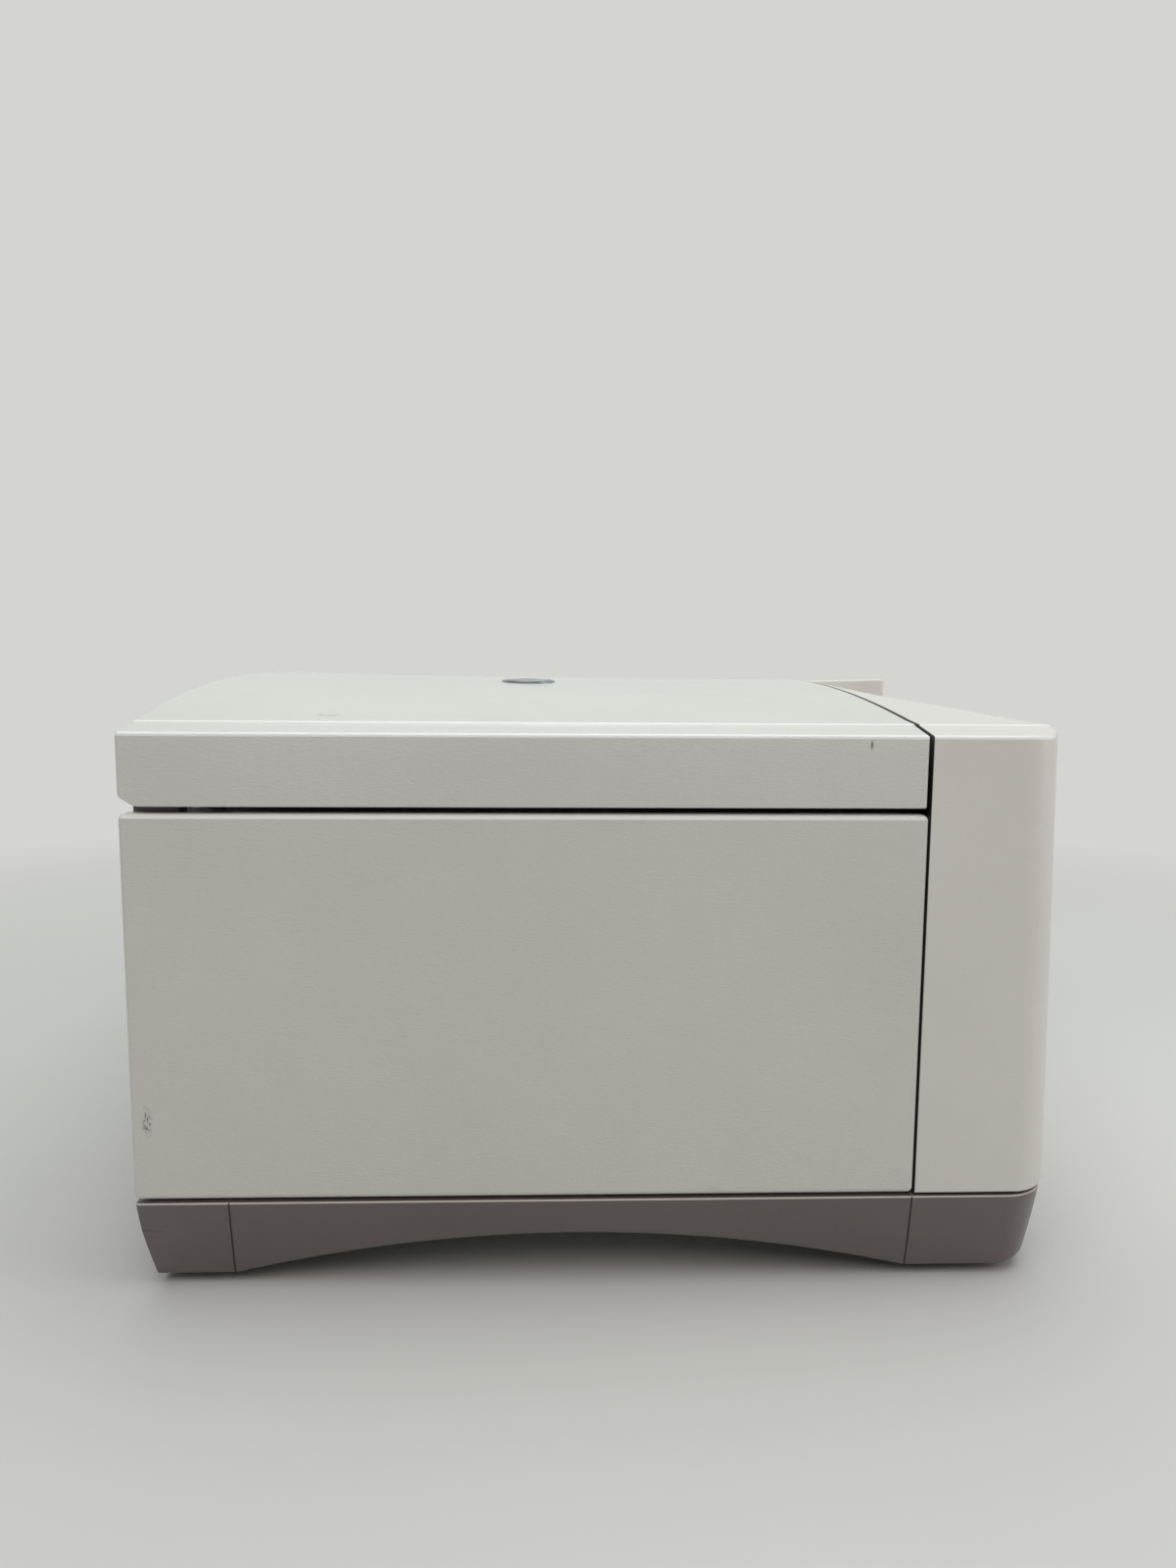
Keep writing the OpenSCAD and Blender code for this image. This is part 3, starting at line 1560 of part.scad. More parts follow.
module fan_guard() {
    color("#46494c") difference() {
        union() {
            along_y(guard_y - guard_t, guard_y) translate([fan_x, fan_z]) {
                for (r = [30, 45, 60]) guard_ring(r, guard_wire);
                guard_ring(fan_r + 4, 4);
                for (a = [0 : 45 : 135]) rotate(a) square([2 * fan_r + 8, guard_wire], center = true);
            }
            rod_y(fan_x, guard_y - fan_motor_l, guard_y + 0.5, fan_z, fan_motor_r);
        }
        rod_y(fan_x, guard_y - fan_axle_l - 1, guard_y + 1, fan_z, fan_axle_r + running_gap);
    }
}

fan_hub_r = 18;
blade_pitch = 32;

module fan_blades() {
    color("#1b1c1e") {
        rod_y(fan_x, guard_y + 1, shroud_y1 - 4, fan_z, fan_hub_r);
        rod_y(fan_x, guard_y - fan_axle_l, guard_y + 2, fan_z, fan_axle_r);
        for (i = [0 : fan_blade_count - 1])
            translate([fan_x, (guard_y + shroud_y1) / 2 - 1, fan_z])
                rotate([0, i * 360 / fan_blade_count, 0]) translate([fan_hub_r - 2, 0, 0])
                    rotate([blade_pitch, 0, 0]) translate([0, -1, -12]) cube([fan_r - fan_hub_r, 2, 22]);
    }
}

module pipe_bend(r) {
    rotate_extrude(angle = 90, $fn = 64) translate([r, 0]) circle(r = pipe_r, $fn = 24);
}

// Pipes from the bowl's tube through the wall, the upper one to the compressor's top and
// the lower one to the condenser
module refrigerant_pipes() {
    bend = 14;
    drop_x = compressor_x + 10;
    run_y = compressor_y - 30;
    condenser_y = (condenser_y0 + condenser_y1) / 2;
    coil_end = rotor_y + foam_in + 4;
    color("#b87a4b") {
        rod_y(pipe_x, coil_end, run_y - bend, pipe_high_z, pipe_r);
        translate([pipe_x - bend, run_y - bend, pipe_high_z]) pipe_bend(bend);
        rod_x(drop_x, pipe_x - bend, run_y, pipe_high_z, pipe_r);
        translate([drop_x, run_y, compressor_top]) cylinder(h = pipe_rise, r = pipe_r);
        translate([drop_x, run_y, pipe_high_z]) sphere(r = pipe_r);
        rod_y(pipe_x, coil_end, condenser_y - low_pipe_bend, pipe_low_z, pipe_r);
        translate([pipe_x + low_pipe_bend, condenser_y - low_pipe_bend, pipe_low_z]) rotate([0, 0, 90])
            pipe_bend(low_pipe_bend);
    }
}

base_skirt_left();
base_skirt_right();
base_skirt_rear();
base_skirt_front();
chassis_plate();
tray_runners();
rubber_feet();
side_panel_left();
side_panel_right();
rear_panel();
partition_wall();
top_deck();
chamber_seal();
chamber_bowl();
evaporator_coil();
bowl_insulation();
motor_housing();
motor_stator();
motor_dampers();
motor_bearings();
compressor();
condenser();
refrigerant_pipes();
fan_shroud();
fan_guard();
control_board();
mains_inlet();
panel_screws();
front_panel();
console_shell();
display_lens();
keypad_plate();
right_cover();
latch_housings();
hinge_brackets();
strut_cylinders();
drive_shaft();
rotor_yoke();
rotor_nut();
plate_bucket_a();
plate_bucket_b();
lid_cover();
lid_liner();
window_bezel();
window_lens();
lid_strikers();
hinge_arms();
hinge_pins();
strut_rod_left();
strut_rod_right();
latch_bar();
fan_blades();
mains_switch();
key_open();
key_start();
key_stop();
key_temperature();
key_time();
key_speed();
drip_tray();
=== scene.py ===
"""Microplate centrifuge: the visual model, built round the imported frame.

Sizes are in millimetres unless their names end in _M, and add_mesh turns them into metres.
"""

import json
import math

import bmesh
import bpy
from mathutils import Matrix, Vector


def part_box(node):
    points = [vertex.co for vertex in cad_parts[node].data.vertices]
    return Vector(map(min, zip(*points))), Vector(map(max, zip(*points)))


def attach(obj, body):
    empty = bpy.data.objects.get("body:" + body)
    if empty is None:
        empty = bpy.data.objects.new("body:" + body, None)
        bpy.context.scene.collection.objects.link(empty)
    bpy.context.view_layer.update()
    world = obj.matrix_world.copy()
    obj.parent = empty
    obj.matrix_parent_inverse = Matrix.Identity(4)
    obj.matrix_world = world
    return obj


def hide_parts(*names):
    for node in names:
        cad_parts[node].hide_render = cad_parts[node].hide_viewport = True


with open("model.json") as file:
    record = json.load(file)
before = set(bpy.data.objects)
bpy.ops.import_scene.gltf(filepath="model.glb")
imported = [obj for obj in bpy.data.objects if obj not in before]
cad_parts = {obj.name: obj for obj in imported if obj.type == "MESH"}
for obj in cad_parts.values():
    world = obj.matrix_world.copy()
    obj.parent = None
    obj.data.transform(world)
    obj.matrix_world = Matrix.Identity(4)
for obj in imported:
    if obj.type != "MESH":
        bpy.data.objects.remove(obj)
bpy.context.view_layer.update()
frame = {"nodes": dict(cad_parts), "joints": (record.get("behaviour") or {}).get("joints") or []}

MM = 0.001
HALF_PI = math.pi / 2
X, Y, Z = range(3)


def span(node, axis):
    """Lowest and highest place of a solid along an axis, in millimetres."""
    return [round(corner[axis] / MM, 2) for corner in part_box(node)]


def joint_place(name):
    """Where a joint's axis passes, in millimetres."""
    joint = next(joint for joint in frame["joints"] if joint["name"] == name)
    return [round(place / MM, 2) for place in joint["pos_m"]]


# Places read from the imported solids, in millimetres
REAR_X, SEAM_X = span("side_panel_left", X)
PANEL_BOTTOM, PANEL_TOP = span("side_panel_left", Z)
FRONT_START, FRONT_X = span("front_panel", X)
COVER_LEFT, HALF_W = span("right_cover", Y)
LID_FRONT = span("lid_cover", X)[1]
LID_RIGHT = span("lid_cover", Y)[1]
LID_BOTTOM = span("lid_cover", Z)[0]
CONSOLE_X = span("console_shell", X)[1]
CONSOLE_LOW = span("console_shell", Z)[0]
BASE_CLEAR, BASE_TOP = span("base_skirt_left", Z)
ROTOR = joint_place("rotor_spin")[:2]

# Crown, shoulder and fine raised line of the top, in millimetres
EDGE_Z = 310.0
SHOULDER_W, SHOULDER_RISE, EDGE_RISE = 26.0, 5.6, 1.3
EDGE_IN = HALF_W - SHOULDER_W
CREASE_STEP, CREASE_RUN, CREASE_FADE = 0.5, 0.8, 16.0
CREASE = [EDGE_IN + CREASE_RUN * k / 3 for k in (3, 2, 1, 0, -1, -3)] + [EDGE_IN - CREASE_FADE]
CROWN_REAR, POWER_REAR = 27.0, 2.7
CROWN_SEAM, POWER_SEAM = 23.6, 2.0
CROWN_FRONT, POWER_FRONT = 9.4, 1.3
CONSOLE_RISE = 3.0

# Walls, corners and gaps of the mouldings, in millimetres
LID_WALL, FRONT_WALL, PANEL_WALL = 2.6, 3.0, 1.5
FRONT_LEAN, FRONT_R = 5.5, 24.0
CONSOLE_GAP = 1.5
COVER_GAP = 0.6

# Steps in a rounded edge, a bottom lip, a corner and a full circle
EDGE_STEPS, LIP_STEPS, CORNER_STEPS, ROUND = 6, 5, 8, 96
# Least distance between grid lines, least corner radius, how far a cutter stands out of what it
# cuts, and a height above everything
LEAST_STEP, LEAST_R, OVERSHOOT, ABOVE_ALL = 0.06, 0.25, 8.0, 360.0
# Points closer than this are one, and edges that turn by more than this stay sharp
MERGE_M, SHARP = 2e-6, math.radians(32)


# Crowned top, the same formulas as the solids
def rise_and_power(x):
    if x <= SEAM_X:
        back = (SEAM_X - x) / (SEAM_X - REAR_X)
        return (
            CROWN_SEAM + (CROWN_REAR - CROWN_SEAM) * back**3,
            POWER_SEAM + (POWER_REAR - POWER_SEAM) * back**2,
        )
    ahead = (x - SEAM_X) / (FRONT_X - SEAM_X)
    return (
        CROWN_SEAM + (CROWN_FRONT - CROWN_SEAM) * ahead,
        POWER_SEAM + (POWER_FRONT - POWER_SEAM) * ahead,
    )


def lid_z(x, y):
    rise, power = rise_and_power(x)
    if abs(y) > EDGE_IN:
        return EDGE_Z + EDGE_RISE + (SHOULDER_RISE - EDGE_RISE) * (HALF_W - abs(y)) / SHOULDER_W
    return EDGE_Z + SHOULDER_RISE + (rise - SHOULDER_RISE) * (1 - (abs(y) / EDGE_IN) ** power)


def creased(z):
    """Top surface with the fine raised line that runs along the inside of the shoulder."""
    def height(x, y):
        inward = EDGE_IN - abs(y)
        if inward < -CREASE_RUN:
            return z(x, y)
        return z(x, y) + CREASE_STEP * min(1 + inward / CREASE_RUN, max(0.0, 1 - inward / CREASE_FADE))
    return height


def console_z(x, y):
    return lid_z(SEAM_X, y) + CONSOLE_RISE * (x - SEAM_X) / (CONSOLE_X - SEAM_X)


# Mesh helpers
def add_mesh(name, verts, faces):
    """Object of points in millimetres."""
    mesh = bpy.data.meshes.new(name)
    mesh.from_pydata([Vector(v) * MM for v in verts], [], faces)
    work = bmesh.new()
    work.from_mesh(mesh)
    bmesh.ops.remove_doubles(work, verts=work.verts, dist=MERGE_M)
    bmesh.ops.recalc_face_normals(work, faces=work.faces)
    work.to_mesh(mesh)
    work.free()
    obj = bpy.data.objects.new(name, mesh)
    bpy.context.scene.collection.objects.link(obj)
    return obj


def cut(obj, cutters):
    """Takes the cutters away from obj and keeps the result as its mesh."""
    for cutter in cutters:
        mod = obj.modifiers.new("cut", "BOOLEAN")
        mod.operation = "DIFFERENCE"
        mod.solver = "EXACT"
        mod.object = cutter
    bpy.context.view_layer.update()
    graph = bpy.context.evaluated_depsgraph_get()
    mesh = bpy.data.meshes.new_from_object(obj.evaluated_get(graph))
    obj.modifiers.clear()
    obj.data = mesh
    for cutter in cutters:
        bpy.data.objects.remove(cutter)
    return obj


def shade(obj):
    """Smooth shading, with creases only where the surface turns sharply."""
    obj.data.shade_smooth()
    obj.data.set_sharp_from_angle(angle=SHARP)


def dress(obj, material, body, node):
    """Gives a piece its finish and lets it stand for a solid."""
    obj.data.materials.clear()
    obj.data.materials.append(material)
    shade(obj)
    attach(obj, body)
    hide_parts(node)
    return obj


def loft(name, rings, caps=True):
    """Skin over closed rings of points with the same count."""
    count = len(rings[0])
    verts = [p for ring in rings for p in ring]
    faces = []
    for i in range(len(rings) - 1):
        for j in range(count):
            a = i * count + j
            b = i * count + (j + 1) % count
            faces.append((a, b, b + count, a + count))
    if caps:
        faces.append(tuple(range(count)))
        faces.append(tuple(range(len(verts) - 1, len(verts) - count - 1, -1)))
    return add_mesh(name, verts, faces)


def rounded_rect(u0, u1, v0, v1, r):
    """Points of a rectangle with round corners."""
    out = []
    for cu, cv, start in (
        (u1 - r, v0 + r, -HALF_PI), (u1 - r, v1 - r, 0.0),
        (u0 + r, v1 - r, HALF_PI), (u0 + r, v0 + r, math.pi),
    ):
        for k in range(EDGE_STEPS + 1):
            a = start + HALF_PI * k / EDGE_STEPS
            out.append((cu + r * math.cos(a), cv + r * math.sin(a)))
    return out


def prism(name, outline, axis, lo, hi):
    """Closed prism of an outline along an axis."""
    place = {
        X: lambda u, v, h: (h, u, v),
        Y: lambda u, v, h: (u, h, v),
        Z: lambda u, v, h: (u, v, h),
    }[axis]
    return loft(name, [[place(u, v, h) for u, v in outline] for h in (lo, hi)])


def circle(cu, cv, r):
    """Points round a circle."""
    turns = [2 * math.pi * k / ROUND for k in range(ROUND)]
    return [(cu + r * math.cos(a), cv + r * math.sin(a)) for a in turns]


def stops(lo, hi, r_lo, r_hi, corner, step, extra=()):
    """Grid positions from lo to hi, close together over the rounded edges and corners."""
    vals = [lo, hi]
    for base, sign, r in ((lo, 1, r_lo), (hi, -1, r_hi)):
        for k in range(1, EDGE_STEPS + 1):
            vals.append(base + sign * r * (1 - math.cos(HALF_PI * k / EDGE_STEPS)))
        reaches = [corner * k / CORNER_STEPS for k in range(1, CORNER_STEPS + 1)]
        vals += [base + sign * reach for reach in reaches if reach > r]
    count = max(2, round((hi - lo) / step))
    vals += [lo + (hi - lo) * k / count for k in range(1, count)]
    vals += [e for e in extra if lo < e < hi]
    vals.sort()
    out = [lo]
    for v in vals:
        if v - out[-1] > LEAST_STEP and (hi - v > LEAST_STEP or v == hi):
            out.append(v)
    return out


def border_of(nu, nv):
    """Places round the edge of a grid, in order."""
    there = [(i, 0) for i in range(nu - 1)] + [(nu - 1, j) for j in range(nv - 1)]
    back = [(i, nv - 1) for i in range(nu - 1, 0, -1)] + [(0, j) for j in range(nv - 1, 0, -1)]
    return there + back


class Cover:
    """Open shell over a plan rectangle: a crowned top, rounded edges and corners, and a skirt.

    Corners go round from the low end of both directions. Edges and bottoms are the radii of the
    rounding at the top and at the skirt's lip, on the two sides across u and the two across v.
    """

    LEDGE, LEDGE_RISE = 0.2, 0.6

    def __init__(self, plan_span, top, base, corners, edges, wall, bottoms=(1, 1, 1, 1), lean=None):
        self.u0, self.u1, self.v0, self.v1 = plan_span
        self.top = top
        self.base = base
        self.corners = corners
        self.edges = edges
        self.wall = wall
        self.bottoms = bottoms
        self.lean = lean

    def plan(self, u, v, inset):
        """Place in plan, distance to the outline, and the outline's outward direction there."""
        u0, u1, v0, v1 = self.u0, self.u1, self.v0, self.v1
        pu = u0 + inset + (u - u0) * (u1 - u0 - 2 * inset) / (u1 - u0)
        pv = v0 + inset + (v - v0) * (v1 - v0 - 2 * inset) / (v1 - v0)
        for high_u, high_v, radius in zip((0, 1, 1, 0), (0, 0, 1, 1), self.corners):
            r = max(radius - inset, LEAST_R)
            cu = u1 - inset - r if high_u else u0 + inset + r
            cv = v1 - inset - r if high_v else v0 + inset + r
            a = (pu - cu) / r * (1 if high_u else -1)
            b = (pv - cv) / r * (1 if high_v else -1)
            if a > 0 and b > 0:
                a = min(a, 1.0)
                b = min(b, 1.0)
                ma = a * math.sqrt(1 - b * b / 2)
                mb = b * math.sqrt(1 - a * a / 2)
                reach = math.hypot(ma, mb)
                du = ma * (1 if high_u else -1)
                dv = mb * (1 if high_v else -1)
                return cu + r * du, cv + r * dv, r * (1 - reach), (du / reach, dv / reach)
        sides = (
            (pu - u0 - inset, (-1.0, 0.0)), (u1 - inset - pu, (1.0, 0.0)),
            (pv - v0 - inset, (0.0, -1.0)), (v1 - inset - pv, (0.0, 1.0)),
        )
        gap, way = min(sides, key=lambda s: s[0])
        return pu, pv, gap, way

    def blend(self, values, way):
        """Value for a direction, between those of the sides it lies between."""
        along_u = values[1] if way[0] > 0 else values[0]
        along_v = values[3] if way[1] > 0 else values[2]
        return along_u * way[0] ** 2 + along_v * way[1] ** 2

    def drop(self, u, v):
        """How far the rounded edge lies below the top surface."""
        pu, pv, gap, way = self.plan(u, v, 0.0)
        in_corner = abs(way[0]) not in (0.0, 1.0)
        pairs = [(gap, self.blend(self.edges, way))]
        if not in_corner:
            pairs = list(zip(
                (pu - self.u0, self.u1 - pu, pv - self.v0, self.v1 - pv), self.edges
            ))
        worst = 0.0
        for d, r in pairs:
            if r > 0 and d < r:
                worst = max(worst, r - math.sqrt(max(r * r - (r - max(d, 0.0)) ** 2, 0.0)))
        return worst

    def settle(self, u, v, h):
        """Point after the front's lean, which grows from nothing at the rear edge."""
        if self.lean:
            share = (u - self.u0) / (self.u1 - self.corners[1] - self.u0)
            u -= self.lean(h) * min(max(share, 0.0), 1.0)
        return (u, v, h)

    def lines(self, step, extra_v=()):
        """Grid positions along both directions of the plan."""
        corner = max(self.corners)
        us = stops(self.u0, self.u1, *self.edges[:2], corner, step)
        vs = stops(self.v0, self.v1, *self.edges[2:], corner, step, extra_v)
        return us, vs

    def build(self, name, place=lambda u, v, h: (u, v, h), step=14.0, extra_v=()):
        """Mesh of the shell: the outside, the lip under the skirt and the inside."""
        us, vs = self.lines(step, extra_v)
        nu, nv = len(us), len(vs)
        border = border_of(nu, nv)
        verts, faces = [], []

        def add(u, v, h):
            verts.append(place(*self.settle(u, v, h)))
            return len(verts) - 1

        def grid(inset, height):
            ids = []
            for u in us:
                for v in vs:
                    pu, pv, _, _ = self.plan(u, v, inset)
                    ids.append(add(pu, pv, height(u, v, pu, pv)))
            for i in range(nu - 1):
                for j in range(nv - 1):
                    k = i * nv + j
                    faces.append((ids[k], ids[k + nv], ids[k + nv + 1], ids[k + 1]))
            return ids

        def row(insets, heights):
            ids = []
            for (i, j), inset, h in zip(border, insets, heights):
                pu, pv, _, _ = self.plan(us[i], vs[j], inset)
                ids.append(add(pu, pv, h))
            return ids

        outer = grid(0.0, lambda u, v, pu, pv: self.top(pu, pv) - self.drop(u, v))
        inner = grid(self.wall, lambda u, v, pu, pv: self.top(pu, pv) - self.wall)
        radii = [self.blend(self.bottoms, self.plan(us[i], vs[j], 0.0)[3]) for i, j in border]
        rows = [[outer[i * nv + j] for i, j in border]]
        for k in range(LIP_STEPS + 1):
            a = HALF_PI * k / LIP_STEPS
            insets = [r * (1 - math.cos(a)) for r in radii]
            rows.append(row(insets, [self.base + r * (1 - math.sin(a)) for r in radii]))
        rows.append(row([max(self.wall, r + self.LEDGE) for r in radii], [self.base for _ in radii]))
        rows.append(row([self.wall for _ in radii], [self.base + r + self.LEDGE_RISE for r in radii]))
        rows.append([inner[i * nv + j] for i, j in border])
        count = len(border)
        for upper, lower in zip(rows, rows[1:]):
            for k in range(count):
                n = (k + 1) % count
                faces.append((upper[k], lower[k], lower[n], upper[n]))
        return add_mesh(name, verts, faces)


# Closed blocks: grid step, and the rounding of the bottom edge with a point halfway along it
SOLID_STEP, BOTTOM_R, BOTTOM_MID = 12.0, 1.5, 0.45


def solid_cover(name, cover, inset, floor, height):
    """Closed block inside a cover's outline, for a closed housing and for the hollow in it."""
    us, vs = cover.lines(SOLID_STEP)
    nu, nv = len(us), len(vs)
    border = [i * nv + j for i, j in border_of(nu, nv)]
    levels = [(0.0, floor)]
    if inset == 0:
        levels = [(0.0, floor + BOTTOM_R), (BOTTOM_MID, floor + BOTTOM_MID), (BOTTOM_R, floor)]
    verts, faces = [], []
    for u in us:
        for v in vs:
            pu, pv, _, _ = cover.plan(u, v, inset)
            verts.append((pu, pv, height(u, v, pu, pv)))
    for extra, z in levels:
        for u in us:
            for v in vs:
                pu, pv, _, _ = cover.plan(u, v, inset + extra)
                verts.append((pu, pv, z))
    size = nu * nv
    for i in range(nu - 1):
        for j in range(nv - 1):
            k = i * nv + j
            faces.append((k, k + nv, k + nv + 1, k + 1))
            m = k + size * len(levels)
            faces.append((m, m + 1, m + nv + 1, m + nv))
    for layer in range(len(levels)):
        for a, b in zip(border, border[1:] + border[:1]):
            lo = layer * size
            faces.append((a + lo, a + lo + size, b + lo + size, b + lo))
    obj = add_mesh(name, verts, faces)
    work = bmesh.new()
    work.from_mesh(obj.data)
    loose = [v for v in work.verts if not v.link_faces]
    bmesh.ops.delete(work, geom=loose, context="VERTS")
    work.to_mesh(obj.data)
    work.free()
    return obj


# Material helpers
def rgb(text):
    """Linear colour from one written as red, green and blue in hexadecimal."""
    parts = [int(text[i:i + 2], 16) / 255 for i in (0, 2, 4)]
    linear = [c / 12.92 if c <= 0.04045 else ((c + 0.055) / 1.055) ** 2.4 for c in parts]
    return (*linear, 1.0)


def scaled(colour, k):
    return tuple(min(c * k, 1.0) for c in colour[:3]) + (1.0,)


class Net:
    """Short way to write a material's nodes."""

    def __init__(self, name, **sockets):
        self.mat = bpy.data.materials.new(name)
        self.mat.use_nodes = True
        self.nodes = self.mat.node_tree.nodes
        self.links = self.mat.node_tree.links
        self.nodes.clear()
        self.out = self.nodes.new("ShaderNodeOutputMaterial")
        self.bsdf = self.nodes.new("ShaderNodeBsdfPrincipled")
        self.links.new(self.bsdf.outputs[0], self.out.inputs["Surface"])
        for key, value in sockets.items():
            self.bsdf.inputs[key.replace("_", " ")].default_value = value
        self.coord = self.nodes.new("ShaderNodeTexCoord").outputs["Object"]

    def put(self, node, socket, value):
        target = node.inputs[socket]
        if hasattr(value, "is_linked"):
            self.links.new(value, target)
        else:
            target.default_value = value

    def node(self, kind, props=(), **sockets):
        """New node; a socket is named, or numbered as i0, i1 and so on."""
        made = self.nodes.new("ShaderNode" + kind)
        for key, value in dict(props).items():
            setattr(made, key, value)
        for key, value in sockets.items():
            self.put(made, int(key[1:]) if key[0] == "i" and key[1:].isdigit() else key, value)
        return made

    def noise(self, scale, detail=3.0, rough=0.55, stretch=None, distort=0.0):
        vector = self.coord
        if stretch:
            vector = self.node("Mapping", Vector=self.coord, Scale=stretch).outputs[0]
        made = self.node("TexNoise", Vector=vector, Scale=scale, Detail=detail, Roughness=rough)
        made.inputs["Distortion"].default_value = distort
        return made.outputs["Fac"]

    def ramp(self, value, lo, hi, to_lo=0.0, to_hi=1.0):
        ends = {"From Min": lo, "From Max": hi, "To Min": to_lo, "To Max": to_hi}
        return self.node("MapRange", Value=value, **ends).outputs[0]

    def math(self, how, a, b=0.0):
        return self.node("Math", {"operation": how}, i0=a, i1=b).outputs[0]

    def mix(self, factor, a, b):
        return self.node("Mix", {"data_type": "RGBA"}, i0=factor, i6=a, i7=b).outputs[2]

    def bump(self, height, distance):
        return self.node("Bump", Height=height, Distance=distance).outputs[0]

    def vector(self, how, a, b=(0.0, 0.0, 0.0)):
        return self.node("VectorMath", {"operation": how}, i0=a, i1=b).outputs

    def spot(self, centre, radii):
        """1 at a place on the object, falling to 0 at the radii."""
        away = self.vector("SUBTRACT", self.coord, [c * MM for c in centre])[0]
        part = self.vector("DIVIDE", away, [r * MM for r in radii])[0]
        return self.ramp(self.vector("LENGTH", part)["Value"], 1.0, 0.2)

    def within(self, limits):
        """1 inside limits in millimetres along X, Z and either side of Y, and 0 elsewhere."""
        inside = 1.0
        for axis, (lo, hi) in limits.items():
            part = self.node("SeparateXYZ", Vector=self.coord).outputs[axis]
            if axis == "Y":
                part = self.math("ABSOLUTE", part)
            inside = self.math("MULTIPLY", inside, self.math("GREATER_THAN", part, lo * MM))
            inside = self.math("MULTIPLY", inside, self.math("LESS_THAN", part, hi * MM))
        return inside

    def finish(self, colour=None, rough=None, normal=None):
        for socket, value in (("Base Color", colour), ("Roughness", rough), ("Normal", normal)):
            if value is not None:
                self.put(self.bsdf, socket, value)
        return self.mat


MARK_COLOUR = "55534f"


def paint(
    name, colour, rough=0.5, grain=900.0, depth=0.0001, mottle=0.03, scuffs=(), painted_light=(), **sockets
):
    """Sprayed or moulded texture: fine leathery bumps, faint clouding, uneven gloss."""
    net = Net(name, **sockets)
    base = rgb(colour)
    cloud = net.ramp(net.noise(scale=7.0, detail=4.0, rough=0.6), 0.3, 0.7)
    tone = net.mix(cloud, scaled(base, 1 - mottle), scaled(base, 1 + mottle))
    dust = net.ramp(net.noise(scale=260.0, detail=2.0, rough=0.7), 0.62, 0.8, to_hi=0.12)
    tone = net.mix(dust, tone, scaled(base, 0.72))
    for centre, radii, dark, scale, stretch, level in scuffs:
        streaks = net.noise(scale, 3.0, 0.65, stretch, distort=0.3)
        mask = net.math("MULTIPLY", net.spot(centre, radii), net.ramp(streaks, level, level + 0.1))
        tone = net.mix(net.math("MULTIPLY", mask, dark), tone, rgb(MARK_COLOUR))
    # Bands of painted highlight and painted shade laid over the tone
    for limits, painted_tone in painted_light:
        tone = net.mix(net.within(limits), tone, rgb(painted_tone))
    waves = net.noise(grain, 2.0, 0.55, stretch=(0.3, 0.5, 1.0), distort=0.5)
    fine = net.noise(grain * 2.2, 2.0, 0.6)
    normal = net.bump(net.math("ADD", waves, net.math("MULTIPLY", fine, 0.35)), depth)
    shine = net.ramp(net.noise(scale=40.0, rough=0.6), 0.3, 0.7, rough - 0.05, rough + 0.06)
    return net.finish(tone, shine, normal)


def metal(name, colour, rough=0.3, stretch=(1.0, 1.0, 1.0), scale=500.0, depth=0.00002, stain=0.12):
    """Bare or plated metal with directional marks and light staining."""
    net = Net(name, Metallic=1.0)
    base = rgb(colour)
    lines = net.noise(scale, 3.0, 0.6, stretch)
    marks = net.noise(scale=18.0, detail=5.0, rough=0.65, distort=0.6)
    tone = net.mix(net.ramp(marks, 0.35, 0.7), base, scaled(base, 1 - stain))
    drawn = net.ramp(lines, 0.3, 0.7, rough - 0.06, rough + 0.08)
    shine = net.math("ADD", drawn, net.ramp(marks, 0.4, 0.75, to_hi=0.1))
    return net.finish(tone, shine, net.bump(lines, depth))


def moulded(name, colour, rough=0.45, grain=1400.0, depth=0.00003, **sockets):
    """Moulded plastic or rubber with a fine spark-eroded grain and handling marks."""
    net = Net(name, **sockets)
    base = rgb(colour)
    cloud = net.ramp(net.noise(scale=22.0, detail=4.0, rough=0.6), 0.3, 0.75)
    tone = net.mix(cloud, scaled(base, 0.92), scaled(base, 1.1))
    shine = net.ramp(net.noise(scale=60.0, detail=4.0, rough=0.6), 0.3, 0.7, rough - 0.06, rough + 0.08)
    return net.finish(tone, shine, net.bump(net.noise(grain, 2.0, 0.5), depth))


def glass(name, dark, light, scale, distort, rough, **sockets):
    """Clear or tinted window with faint smears in its colour and gloss."""
    net = Net(name, **sockets)
    smear = net.noise(scale, 4.0, 0.6, distort=distort)
    tone = net.mix(net.ramp(smear, 0.3, 0.7), rgb(dark), rgb(light))
    return net.finish(tone, net.ramp(smear, 0.3, 0.7, *rough))


# Marks: centre and reach in millimetres, strength, and the size, stretch and share of the streaks
LID_SCUFFS = [
    ((-171.3, -276.0, lid_z(-171.3, -276.0)), (9.0, 3.2, 5.0), 0.9, 260.0, (0.3, 1.0, 1.0), 0.42),
    ((124.3, -320.0, 306.3), (1.1, 3.0, 3.2), 0.85, 500.0, (1.0, 1.0, 0.4), 0.3),
    ((35.0, -300.0, 315.0), (12.0, 4.0, 5.0), 0.25, 200.0, (0.3, 1.0, 1.0), 0.52),
    ((-120.0, 40.0, 333.0), (70.0, 50.0, 9.0), 0.12, 160.0, (0.2, 1.0, 1.0), 0.56),
]
PANEL_SCUFFS = [
    ((-266.1, -320.0, 98.9), (3.4, 6.0, 11.0), 0.85, 800.0, (1.0, 1.0, 0.4), 0.47),
    ((-20.0, 320.0, 82.0), (30.0, 6.0, 6.0), 0.3, 300.0, (0.2, 1.0, 1.0), 0.54),
    ((70.0, -320.0, 58.0), (50.0, 4.0, 3.0), 0.2, 300.0, (0.2, 1.0, 1.0), 0.54),
]
